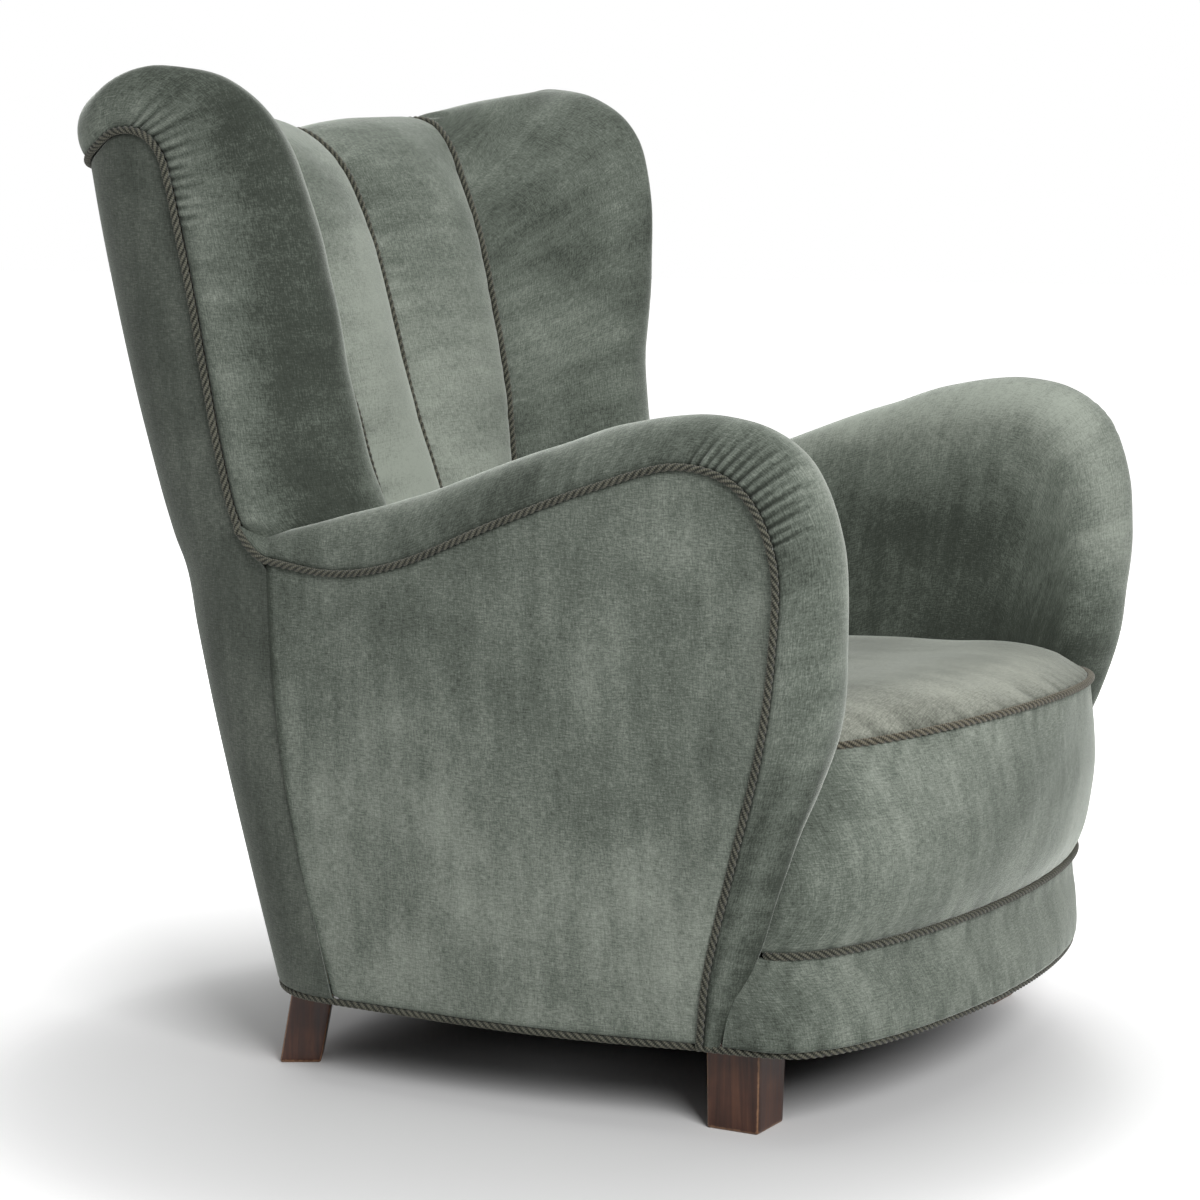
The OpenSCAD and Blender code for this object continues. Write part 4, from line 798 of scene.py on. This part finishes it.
# The wing's mark paints light and shade: lighter beside the cord, a little darker overall, darker in the
# gathers' valleys and lighter on their crests. The near wing, on the right, also gets a darker front and
# a lighter inner edge low down.
wing_painted_light_and_shade = (wing_pleats / WING_PLEAT_DEPTH + 0.30 * hump(wing_around, 0.06, 0.05) - 0.22
              + seam_shade(wing_skin, SEAMS))
wing_front_painted_shade = ease(wing_around, 0.10, 0.24) * (1 - ease(wing_around, 0.42, 0.55))
wing_edge_painted_light = hump(wing_around, 0.68, 0.05) * (1 - ease(wing_t, 0.45, 0.7))[:, None]
cover_pair("wing_cover", "wing_pad", wing_skin, wing_lining,
           [wing_painted_light_and_shade - 0.06 * wing_front_painted_shade, wing_painted_light_and_shade - 0.50 * wing_front_painted_shade + 0.35 * wing_edge_painted_light])
print(len(pleat_places), "gathers over a wing's top")

# %% [markdown]
# The back has two wide channels with a rope cord between them and one on each side. A channel
# is crowned most in its middle, so its section is a raised sine with steep sides. It follows the
# lean of the back, turns over the crest and goes down to the outer back.

# %% Back channels
CHANNEL_PAD = 0.023
CHANNEL_BULGE = 0.026
CHANNEL_TUCK = 0.0007
CHANNEL_CORE = np.array([0.11, 0.30, 0.55])


def channel_out(t):
    """The way a channel faces, which turns over the crest."""
    lean = np.radians(along(CHANNEL_LEAN, t))
    return np.stack([0 * t, -np.cos(lean), np.sin(lean)], -1)


def channel_grid():
    t = stations(170, (0, 1), (0.7, 1), (0.8, 2), (1, 2))
    middle, side = body_curve(MIDDLE_SEAM, t), body_curve(SIDE_SEAM, t)
    v = stations(400, (0, 8), (0.05, 2), (0.5, 1), (0.95, 2), (1, 8))[None, :, None]
    crown = channel_out(t) * (CHANNEL_BULGE * smooth(t, CHANNEL_CROWN))[:, None]
    rows = middle[:, None] + (side - middle)[:, None] * v
    rows = rows + crown[:, None] * np.maximum(np.sin(v * math.pi), 0) ** 0.62
    return by_length(rows, stations(74, (0, 2.2), (0.05, 1.3), (0.5, 1), (0.95, 1.3), (1, 2.2)))


channel_skin = soften(channel_grid(), CHANNEL_CORE, amount=0.0026, size=0.08, seed=17.0)
channel_tucks = small_tucks("channel", channel_skin, seam_distance(channel_skin, SEAMS), CHANNEL_TUCK)
channel_skin = sewn(raised(channel_skin, CHANNEL_CORE, channel_tucks), CHANNEL_CORE, SEAMS)
channel_lining = padding(channel_skin, CHANNEL_CORE, CHANNEL_PAD, SEAMS + ("last_row",))

channel_around, channel_z = share_across(channel_skin), channel_skin[..., 2]
# Painted light and shade on the channels: darker in the tucks' valleys and beside the seams, lighter low
# down, and lighter still on the near channel, the right one.
channel_painted_light_and_shade = (0.4 * channel_tucks / CHANNEL_TUCK + 0.05 + seam_shade(channel_skin, SEAMS)
                 + (0.95 - 0.25 * channel_around) * (1 - ease(channel_z, 0.50, 0.92)))
near_channel_painted_light = (0.76 - 0.50 * channel_around) * (1 - ease(channel_z, 0.74, 0.93))
cover_pair("channel_cover", "back_channel", channel_skin, channel_lining,
           [channel_painted_light_and_shade, channel_painted_light_and_shade + near_channel_painted_light])
print("a channel's skin is", np.round(run_of(channel_skin, 0)[-1].mean(), 2), "m long")

# %% [markdown]
# The outer back is one plain shell of velvet, a darker copy that paints the shade on this side, stretched
# round from one side seam to the other. It is thin, so only its skin is curved, and it has no gathers:
# the stretch keeps it smooth.

# %% Outer back
BACK_CORE = np.array([0.0, 0.1, 0.5])
BACK_GAP = 0.001
BACK_WRAP_Y, BACK_WRAP_R = 0.15, 0.38


def outer_back_grid():
    angle = stations(90, (0, 4), (10, 1), (90, 1))
    top = smooth(angle, BACK_TOP)[:, None] - BACK_GAP
    v = stations(130, (0, 2), (0.04, 1), (0.95, 1), (1, 2.5))
    share = BACK_GAP + (top - BACK_GAP) * v
    half = back_point(angle[:, None] + 0 * share, share)
    return np.concatenate([half, half[-2::-1] * MIRROR])


back_skin = soften(outer_back_grid(), BACK_CORE, amount=0.0012, size=0.16, seed=23.0)
back_skin = sewn(back_skin, BACK_CORE, SEAMS)
back_x, back_y, back_z = np.moveaxis(back_skin, -1, 0)
back_lining = padding(back_skin, BACK_CORE, PANEL_T, ALL_SIDES)
cover("outer_back_skin", "outer_back_cover", back_skin, back_lining,
      0.7 * seam_shade(back_skin, ("last_column",)),
      laid(np.arctan2(back_y - BACK_WRAP_Y, back_x) * BACK_WRAP_R, back_z), material=velvet_dark)
print("outer back", np.round([back_z.min(), back_z.max()], 3))

# %% [markdown]
# The seat is tight: its top is crowned and drawn over an edge roll, and a border and a lower band
# bow forward between the arms, with a rope cord along each seam. The top is one pad from the
# front seam to under the back. It is flat below, where it lies on the hessian and the springs.

# %% Seat front
BORDER_T = 0.0062
BOW_CORE = np.array([0.0, -0.2, 0.2])
BOW_TUCK = 0.0006


def bow_cover(name, node, low, high, seed, fullness):
    end = 1 + BOW_TURN
    s = -stations(190, (-end, 3), (-0.9, 1.5), (0, 1), (0.9, 1.5), (end, 3))
    v = stations(46, (0, 2.5), (0.1, 1), (0.9, 1), (1, 2.5))
    share = low + (high(s) - low)[:, None] * v
    skin = ease_corners(bow_point(s[:, None] + 0 * share, share), s)
    skin = soften(skin, BOW_CORE, 0.0016, 0.07, seed)
    off = seam_distance(skin, SEAMS)
    tucks = small_tucks("bow", skin, off, BOW_TUCK)
    skin = raised(skin, BOW_CORE, fullness * np.clip(off / off.max(), 0, 1) ** 0.4 + tucks)
    skin = sewn(skin, BOW_CORE, SEAMS)
    # The ends, where the cover turns back into the corner by the arm, are painted darker as shade. The
    # tucks are painted darker in their valleys and lighter on their crests.
    bow_end_painted_shade = 0.55 * ease(np.abs(skin[..., 0]) / BOW_W, 0.72, 0.97)
    return cover(name, node, skin, padding(skin, BOW_CORE, BORDER_T, SEAMS),
                 0.25 + 0.5 * tucks / BOW_TUCK - bow_end_painted_shade + seam_shade(skin, SEAMS),
                 laid(run_of(skin, 0), skin[..., 2]))


border = bow_cover("seat_border_cover", "seat_border", BAND_SHARE,
                   lambda s: (seat_edge(s)[:, 2] - LEG_H) / SEAT_RISE, 29.0, 0.0004)
band = bow_cover("front_band_cover", "front_band", 0.004,
                 lambda s: np.full(len(s), BAND_SHARE), 31.0, 0.0062)
print("seat front covers", len(border.data.vertices), len(band.data.vertices))

# %% Seat top
SEAT_SIDE_W = HALF_W * 0.703
SEAT_BACK_Y = FRONT_Y + DEPTH * 0.7
SEAT_BACK_BOW = DEPTH * 0.035
DECK_Z = LEG_H + SEAT_RISE * 0.735
SEAT_CORE = np.array([0.0, -0.15, 0.30])
SEAT_LIP = 0.010
SEAT_TUCK = 0.0009
WORN_AT, WORN_SIZE = (0.02, -0.19), (0.16, 0.13)


def seat_grid():
    s = -stations(210, (-1, 3), (-0.85, 1.3), (0, 1), (0.85, 1.3), (1, 3))[:, None]
    v = stations(130, (0, 5), (0.06, 2), (0.3, 1), (1, 1))[None, :]
    edge = seat_edge(s + 0 * v)
    x = edge[..., 0] + (s * SEAT_SIDE_W - edge[..., 0]) * ease(v, 0.0, 0.16)
    y = edge[..., 1] + (SEAT_BACK_Y - SEAT_BACK_BOW * s ** 2 - edge[..., 1]) * v
    side = 1 - 0.55 * np.abs(s) ** 8
    z = edge[..., 2] + SEAT_CROWN * along(SEAT_PROFILE, v + 0 * s) * side
    lip = SEAT_LIP * np.sqrt(np.clip(v / 0.05, 0, 1)) * (1 - ease(v, 0.05, 0.30))
    return np.stack([x, y, z + lip], -1)


seat_skin = soften(seat_grid(), SEAT_CORE, amount=0.0030, size=0.11, seed=37.0)
seat_off = seam_distance(seat_skin, CORD_SEAM)
seat_tucks = small_tucks("seat", seat_skin, seat_off, SEAT_TUCK)
seat_skin = sewn(raised(seat_skin, SEAT_CORE, seat_tucks), SEAT_CORE, CORD_SEAM)
seat_x, seat_y, seat_z = np.moveaxis(seat_skin, -1, 0)
seat_in = np.clip(share_across(seat_skin) * 2, 0, 1)
seat_floor = np.stack([seat_x * 0.96, seat_y + 0.034 * (1 - seat_in) - 0.001 * seat_in,
                       np.full_like(seat_z, DECK_Z + 0.0005)], -1)
seat_worn = hump(seat_x, WORN_AT[0], WORN_SIZE[0]) * hump(seat_y, WORN_AT[1], WORN_SIZE[1])
# The seat's mark paints a highlight along the crown of the edge roll, a few centimetres behind the front
# seam. It paints the tucks darker in their valleys and shade beside the seam, and darkens where the seat
# is worn.
cover("seat_cover", "seat_pad", seat_skin, seat_floor,
      0.5 * seat_tucks / SEAT_TUCK + 0.08 + 0.46 * hump(seat_off, 0.05, 0.035) - 0.50 * seat_worn
      + seam_shade(seat_skin, CORD_SEAM), laid(seat_x, seat_y), material=velvet_seat)
print("seat crest", round(float(seat_z.max()), 4), "m above the floor")

# %% [markdown]
# Every seam is covered by a rope cord of three twisted strands, sewn down along its length. A cord is
# swept along its seam as rings. In each ring the radius is greatest on a strand and least
# between two, and the rings turn as they go, so the strands wind. The yarns of a strand lean the other
# way, and the material draws them from lengths stored on the cord.

# %% Rope finish
YARN_WIDTH, YARN_LEAN = 0.0016, 6.0
ROPE_TONES = ((0.008, 0.009, 0.007), (0.027, 0.030, 0.023), (0.155, 0.152, 0.118))
WORN_TONES = ((0.012, 0.011, 0.008), (0.042, 0.039, 0.028), (0.205, 0.188, 0.140))


def rope_material(name, tones):
    material, w = new_material(name)
    lay = w.node("SeparateXYZ", {0: w.stored("cloth")})
    wave = w.maths("SINE", w.total(((lay, "X"), 2 * math.pi / YARN_WIDTH), ((lay, "Y"), YARN_LEAN)))
    yarn = w.maths("MULTIPLY_ADD", wave, 0.5, 0.5)
    fuzz, faded = (w.noise(w.place(), scale, 2.0, 0.6) for scale in (900.0, 22.0))
    # The stored crest share paints each strand lighter on its crest and darker between strands: a painted
    # highlight and painted shade.
    tone = w.total((yarn, 0.26), (fuzz, 0.34), ((lay, "Z"), 0.56), (faded, 0.22))
    w.surface(w.total((yarn, 0.7), (fuzz, 0.5)), 0.7, 0.0005, {
        "Base Color": w.ramp(tone, *zip((0.34, 0.66, 1.0), tones)), "Roughness": 0.82,
        "Sheen Weight": 0.25, "Sheen Roughness": 0.4, "Specular IOR Level": 0.2})
    return material


rope = rope_material("rope_cord", ROPE_TONES)
rope_worn = rope_material("rope_cord_worn", WORN_TONES)
print("rope finishes", rope.name, "and", rope_worn.name)

# %% Sweeping a cord
ROPE_TURN = 0.0235
RING_STEP = 0.0016
RING_SIDES = 27
STRAND_ANGLE = 2 * math.pi / 3
STRAND_BEND = 0.95


def frames_along(line, closed):
    """Two directions across the line at each point, which don't twist about it on the way."""
    tangent = np.gradient(line, axis=0)
    if closed:
        tangent = np.roll(line, -1, axis=0) - np.roll(line, 1, axis=0)
    tangent /= np.linalg.norm(tangent, axis=1, keepdims=True)
    side, sides = np.cross(tangent[0], [0.31, 0.2, 0.93]), []
    for t in tangent:
        side = side - t * np.dot(side, t)
        side = side / np.linalg.norm(side)
        sides.append(side)
    return np.array(sides)[:, None], np.cross(tangent, sides)[:, None]


def rope_cord(seam, path, material=rope, closed=False, mirrored=False, radius=CORD_R):
    """A three-strand cord swept along a seam, which stands for the CAD cord."""
    if closed:
        path = np.concatenate([path, path[:1]])
    length = run_of(path[:, None], 0)[-1, 0]
    share = np.linspace(0, 1, max(int(length / RING_STEP), 8) + 1)
    line = by_length(path[None], share)[0]
    if closed:
        line = line[:-1]
    n = len(line)
    share = share[:n, None]
    angle = np.linspace(0, 2 * math.pi, RING_SIDES, endpoint=False)
    wound = 2 * math.pi * round(length / ROPE_TURN) * share
    strand = np.mod(angle - wound + STRAND_ANGLE / 2, STRAND_ANGLE) - STRAND_ANGLE / 2
    reach = radius * 1.02 * np.cos(strand * STRAND_BEND)
    if not closed:
        ends = np.minimum(np.arange(n), np.arange(n)[::-1])
        reach = reach * np.sqrt(np.clip((ends + 0.35) / 2.5, 0, 1))[:, None]
    side, up = frames_along(line, closed)
    points = (line[:, None] + side * (reach * np.cos(angle))[..., None]
              + up * (reach * np.sin(angle))[..., None])
    index = np.arange(n * RING_SIDES).reshape(n, RING_SIDES)
    if closed:
        index = np.concatenate([index, index[:1]])
    after = np.roll(index, -1, axis=1)
    faces = np.stack([index[:-1], after[:-1], after[1:], index[1:]], -1).reshape(-1, 4).tolist()
    if not closed:
        faces += [index[0, ::-1].tolist(), index[-1].tolist()]
    # 1 on a strand's crest and lower between strands, for the painted highlight and shade.
    strand_painted_light = (np.cos(strand * STRAND_BEND) - 0.53) / 0.47
    return make_piece(seam + "_rope", points, faces, material, seam + "_cord", "rope_cord", mirrored,
                      cloth=np.stack([share * length + 0 * strand, strand, strand_painted_light], -1))


# %% Cords along the arms and the wings
PROUD = 0.0026
ARM_ROPE_R = 0.0035
WING_START = [(0.931, 0.7175, 0.776)]

arm_line = np.concatenate([placed([row[0] for row in ARM_TAIL], ARM_RISE),
                           arm_curve(ARM_CORD, np.linspace(0, 1, 300))])
arm_lead = along(arm_line[[0, 1, 2, 12]], np.linspace(0, 2 / 3, 20)[:-1])
arm_line = np.concatenate([arm_lead, arm_line[2:]]) + PROUD * ACROSS
wing_angle, wing_share = along(WING_CORD, np.linspace(0, 1, 260)).T
crest_angle = np.linspace(66, 90, 24)
wing_line = np.concatenate([back_point(np.maximum(wing_angle, 0), wing_share),
                            back_point(crest_angle, smooth(crest_angle, BACK_TOP))])
wing_away = (wing_line - [0, BACK_WRAP_Y, 0]) * [1, 1, 0]
wing_line = wing_line + PROUD * wing_away / np.linalg.norm(wing_away, axis=1, keepdims=True)
wing_line = np.concatenate([placed(WING_START, ARM_RISE) + PROUD * ACROSS, wing_line])
cords = [rope_cord("left_arm", arm_line, radius=ARM_ROPE_R),
         rope_cord("right_arm", arm_line, mirrored=True, radius=ARM_ROPE_R),
         rope_cord("wing", np.concatenate([wing_line, wing_line[-2::-1] * MIRROR]))]
print("arm cord", round(float(run_of(arm_line[:, None], 0)[-1, 0]), 2), "m long")

# %% Cords down the back, round the seat and round the base
CHANNEL_LIFT = 0.006
BASE_IN = CORD_R - 0.0004

t = np.linspace(0.01, 0.97, 200)
lift = (CHANNEL_LIFT * (1 - 0.75 * ease(t, 0.55, 0.8)))[:, None] * channel_out(t)
side_line = body_curve(SIDE_SEAM, t) + lift
cords += [rope_cord("centre_channel", body_curve(MIDDLE_SEAM, t) + lift),
          rope_cord("left_channel", side_line), rope_cord("right_channel", side_line, mirrored=True)]
s = np.linspace(-1 - BOW_TURN, 1 + BOW_TURN, 264)
seat_line = ease_corners(seat_edge(s), s, 18) + [0, -0.0022, 0.0006]
band_line = ease_corners(bow_point(s, np.full(len(s), BAND_SHARE)), s, 30) + [0, -0.0026, 0]
base_angle = np.linspace(6, 90, 60)
front_part = bow_point(np.linspace(0, 1, 90), np.zeros(90)) + [0, BASE_IN, 0]
rear_part = back_point(base_angle, np.zeros(60)) * [1 - BASE_IN / HALF_W, 1, 1]
rear_part[:, 1] -= BASE_IN * np.sin(np.radians(base_angle))
half_line = np.concatenate([front_part, base_curve(np.linspace(1, 0, 90), BASE_IN, LEG_H), rear_part])
for _ in range(14):
    half_line[1:-1] = evened(half_line)
cords += [rope_cord("seat", seat_line, rope_worn), rope_cord("band", band_line),
          rope_cord("base", np.concatenate([half_line, half_line[-2:0:-1] * MIRROR]), closed=True)]
print(len(cords), "rope cords", sum(len(cord.data.vertices) for cord in cords), "points")

# %% [markdown]
# The legs are short square blocks of stained wood, the rear ones raked back and outwards. A real leg
# has eased edges where the stain has worn through to paler wood. So each is a rounded block whose points
# crowd at its edges, with the nearness of an edge stored for the finish to use.

# %% Stained wood
WOOD_TONES = ((0.022, 0.009, 0.006), (0.070, 0.026, 0.015), (0.150, 0.062, 0.032))
WOOD_BARE = (0.300, 0.160, 0.085)
WOOD_GRAIN = (1.0, 1.0, 0.06)


def stained_wood(name):
    material, w = new_material(name)
    grain = w.stretched(w.place(), WOOD_GRAIN)
    figure, pores = w.noise(grain, 95.0, 4.0, 0.6, 1.2), w.noise(grain, 900.0, 2.0, 0.6)
    blotch, rubbed = w.noise(w.place(), 30.0), w.noise(w.place(), 140.0, 3.0, 0.7)
    stain = w.ramp(w.total((figure, 0.65), (blotch, 0.35)), *zip((0.32, 0.52, 0.72), WOOD_TONES))
    worn = w.level(w.total((w.stored("fold", "Fac"), 1.0), (rubbed, 0.9)), 1.05, 1.45)
    colour = w.node("Mix", {0: worn, 6: stain, 7: (*WOOD_BARE, 1)}, data_type="RGBA")
    w.surface(pores, 0.35, 0.0004, {
        "Base Color": (colour, 2), "Roughness": w.level(figure, 0.3, 0.7, 0.34, 0.50),
        "Coat Weight": 0.15, "Coat Roughness": 0.30})
    return material


leg_finish = stained_wood("stained_leg_wood")
print("leg finish", leg_finish.name)

# %% Four legs
LEG_TOP = 0.0906
LEG_EASE, LEG_WORN = 0.0028, 0.16
LEG_POINTS = 15
LEG_X = HALF_W - 0.1025 - 0.028
LEG_Y = FRONT_Y + 0.158 + 0.028
REAR_X, REAR_Y = HALF_W * 0.672, FRONT_Y + DEPTH * 0.705
REAR_TURN = math.radians(-30)
LEGS = {  # width at the floor and at the top, where the foot stands off the top, turn, place
    "front": (0.053, 0.056, (0.0015, 0), 0.0, (LEG_X, LEG_Y)),
    "rear": (0.041, 0.042, (0.008, 0.016), REAR_TURN, (REAR_X, REAR_Y)),
}


def rounded_leg(side, end, foot, top, foot_at, turn, at):
    """A tapered block with eased edges, from six square grids that are welded where they meet."""
    v = stations(LEG_POINTS, (-1, 5), (-0.85, 1), (0.85, 1), (1, 5))
    a, b = np.meshgrid(v, v, indexing="ij")
    q = np.array([np.roll(np.stack([sign + 0 * a, a, b], -1), axis, axis=-1)
                  for axis in range(3) for sign in (-1, 1)])
    width = foot + (top - foot) * (q[..., 2:] + 1) / 2
    size = np.concatenate([width, width, np.full_like(width, LEG_TOP)], -1) / 2
    core = np.clip(q * size, LEG_EASE - size, size - LEG_EASE)
    away = q * size - core
    x, y, z = np.moveaxis(core + LEG_EASE * away / (np.linalg.norm(away, axis=-1, keepdims=True) + 1e-12),
                          -1, 0)
    z = z + LEG_TOP / 2
    x, y = (way + off * (1 - z / LEG_TOP) for way, off in zip((x, y), foot_at))
    c, s = math.cos(turn), math.sin(turn)
    points = np.stack([at[0] + c * x - s * y, at[1] + s * x + c * y, z], -1)
    quads = quads_of(LEG_POINTS, LEG_POINTS)
    faces = [(quads if k % 2 else quads[:, ::-1]) + k * v.size ** 2 for k in range(6)]
    marks = 1 - ease(1 - np.maximum(np.abs(a), np.abs(b)), 0.0, LEG_WORN)
    return make_piece(f"{side}_{end}_block", points, np.concatenate(faces).tolist(), leg_finish,
                      f"{side}_{end}_leg", "stained_leg_wood", side == "right", weld=1e-5,
                      fold=[marks] * 6)


legs = [rounded_leg(side, end, *LEGS[end]) for side in ("left", "right") for end in LEGS]
print("legs stand at", [round(min(v.co.z for v in leg.data.vertices), 4) for leg in legs])

# %% [markdown]
# Under the seat a thin black cloth keeps the dust in. It is stapled to the rails all round and sags a
# little between them. The legs pass through it, so the squares of cloth that they fill are left out.

# %% Dust cloth
DUST_Z, DUST_SAG, DUST_RIPPLE = 0.0868, 0.00084, 0.0002
DUST_INSET = 0.0146
DUST_TONES = ((0.3, (0.008, 0.008, 0.009)), (0.7, (0.035, 0.034, 0.036)))
FRONT_HOLE, REAR_HOLE, REAR_HOLE_END = 0.030, 0.0235, 0.06


def dust_material(name):
    material, w = new_material(name)
    felt = w.noise(w.place(), 420.0, 3.0, 0.6)
    w.surface(felt, 0.3, 0.0004, {"Base Color": w.ramp(felt, *DUST_TONES), "Roughness": 0.93})
    return material


def by_a_leg(x, y):
    """Whether a place is inside a front leg or a rear one."""
    front = (np.abs(np.abs(x) - LEG_X) < FRONT_HOLE) & (np.abs(y - LEG_Y) < FRONT_HOLE)
    dx, dy = np.abs(x) - REAR_X, y - REAR_Y
    c, s = math.cos(REAR_TURN), math.sin(REAR_TURN)
    u, v = c * dx + s * dy, c * dy - s * dx
    return front | (np.abs(u) < REAR_HOLE) & (v > -REAR_HOLE) & (v < REAR_HOLE_END)


def dust_sheet(n, m):
    outline = half_line.copy()
    outline[:, 0] = np.maximum(outline[:, 0] - DUST_INSET * ease(outline[:, 0], 0.0, 0.1), 0)
    y_low, y_high = outline[0, 1] + DUST_INSET, outline[-1, 1] - DUST_INSET
    order = np.argsort(outline[:, 1])
    down, across = np.linspace(0, 1, n)[:, None], np.linspace(-1, 1, m)
    y = y_low + (y_high - y_low) * down
    reach = np.interp(y, outline[order, 1], outline[order, 0])
    x = reach * across
    sag = np.sin((across + 1) / 2 * math.pi) * np.sin(down * math.pi)
    z = DUST_Z - DUST_SAG * sag + DUST_RIPPLE * np.sin(x * 90) * np.sin(y * 70)
    points = np.stack([x, y + 0 * x, z], -1).reshape(-1, 3)
    quads = quads_of(n, m)[:, [0, 3, 2, 1]]
    middle = points[quads].mean(axis=1)
    quads = quads[~by_a_leg(middle[:, 0], middle[:, 1])]
    corner, one, _, other = (points[quads[:, k]] for k in range(4))
    area = float(np.sum(np.linalg.norm(np.cross(one - corner, other - corner), axis=1)))
    piece = make_piece("dust_sheet", points, quads.tolist(), dust_material("dust_cloth"), "dust_cover",
                       "dust_cloth")
    return area


dust_area = dust_sheet(110, 96)
print("dust cloth", round(dust_area, 3), "square metres")

# %% [markdown]
# The frame, its fixings, the springs and the webbing stay as the CAD has them, since their shapes are
# right already. Each gets a finish of its own: sawn hardwood, bright screws, oiled spring wire and jute.

# %% Finishes of the frame
EVEN, LONG_GRAIN = (1.0, 1.0, 1.0), (1.0, 0.25, 1.0)
JUTE_TONES = ((0.30, (0.22, 0.15, 0.08)), (0.72, (0.46, 0.34, 0.19)))
JUTE_THREAD = 0.0042


def plain_finish(name, dark, light, scale, stretch, rough, metal=0.0):
    material, w = new_material(name)
    figure = w.noise(w.stretched(w.place(), stretch), scale, 4.0, 0.6, 0.8)
    w.surface(figure, 0.3, 0.0005, {
        "Base Color": w.ramp(figure, (0.30, dark), (0.70, light)), "Metallic": metal,
        "Roughness": w.level(figure, 0.3, 0.7, rough, rough + 0.12)})
    return material


def jute_finish(name):
    material, w = new_material(name)
    at = w.node("SeparateXYZ", {0: w.place()})
    warp, weft = (w.maths("SINE", w.maths("MULTIPLY", way, 2 * math.pi / JUTE_THREAD))
                  for way in ((at, "X"), w.maths("ADD", (at, "Y"), (at, "Z"))))
    fuzz = w.noise(w.place(), 260.0, 3.0, 0.6)
    tone = w.total((w.maths("MULTIPLY", warp, weft), 0.16), (fuzz, 1.0))
    w.surface(tone, 0.6, 0.0006, {"Base Color": w.ramp(tone, *JUTE_TONES), "Roughness": 0.9})
    return material


frame_wood = plain_finish("frame_wood", (0.36, 0.22, 0.11), (0.56, 0.38, 0.21), 40.0, LONG_GRAIN, 0.62)
steel = plain_finish("steel", (0.42, 0.42, 0.43), (0.62, 0.62, 0.63), 300.0, EVEN, 0.3, 1.0)
spring_steel = plain_finish("spring_steel", (0.10, 0.10, 0.11), (0.26, 0.25, 0.25), 160.0, EVEN,
                            0.36, 0.9)
jute = jute_finish("jute")
FINISH_OF = {"leg_bolts": steel, "block_screws": steel, "seat_springs": spring_steel,
             "seat_webbing": jute, "back_webbing": jute, "seat_hessian": jute}
dressed = 0
for node_name, node_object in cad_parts.items():
    if not node_object.hide_render:
        node_object.data.materials.clear()
        node_object.data.materials.append(FINISH_OF.get(node_name, frame_wood))
        dressed += 1
print(dressed, "CAD nodes given their finishes")

# %% [markdown]
# The floor is one plain pale sheet that reaches far behind the chair. Its own colour takes the shadow. A
# glow that only the camera sees lifts the rest of it to white; it is painted light, nothing near a spot
# by the chair and growing with the distance from it, so it also sets where the shadow fades out.

# %% Floor
FLOOR_SIZE = 60
FLOOR_PAINT = (0.82, 0.82, 0.82, 1)
FLOOR_SHADE_AT = (-0.22, -0.04, 0.0)
FLOOR_REACH = 3.0
FLOOR_PAINTED_LIGHT = ((0.13, 0.0), (0.20, 0.30), (0.30, 0.60), (0.45, 0.9))


def studio_floor():
    material, w = new_material("floor")
    spot = w.node("VectorMath", {0: w.place(), 1: FLOOR_SHADE_AT}, operation="SUBTRACT")
    away = w.node("VectorMath", {0: spot}, operation="LENGTH")
    lift = w.node("FloatCurve", {"Value": w.level((away, "Value"), 0.0, FLOOR_REACH)})
    curve = lift.mapping.curves[0]
    for point, ends in zip(curve.points, (0.0, 1.0)):
        point.location = (ends, ends)
    for place, value in FLOOR_PAINTED_LIGHT:
        curve.points.new(place, value)
    lift.mapping.update()
    paint = w.node("BsdfDiffuse", {"Color": FLOOR_PAINT, "Roughness": 0.5})
    # The glow is painted light: camera rays see it, and it rises with the distance from the spot.
    painted_light_glow = w.node("Emission", {"Color": WHITE, "Strength": w.maths("MULTIPLY", w.seen(), lift)})
    w.node("OutputMaterial", {"Surface": w.node("AddShader", {0: paint, 1: painted_light_glow})})
    mesh = bpy.data.meshes.new("floor")
    half = FLOOR_SIZE / 2
    mesh.from_pydata([(-half, -half, 0), (half, -half, 0), (half, half, 0), (-half, half, 0)], [],
                     [(0, 1, 2, 3)])
    mesh.materials.append(material)
    return in_scene("floor", mesh)


studio_floor()
print("floor", FLOOR_SIZE, "m wide")
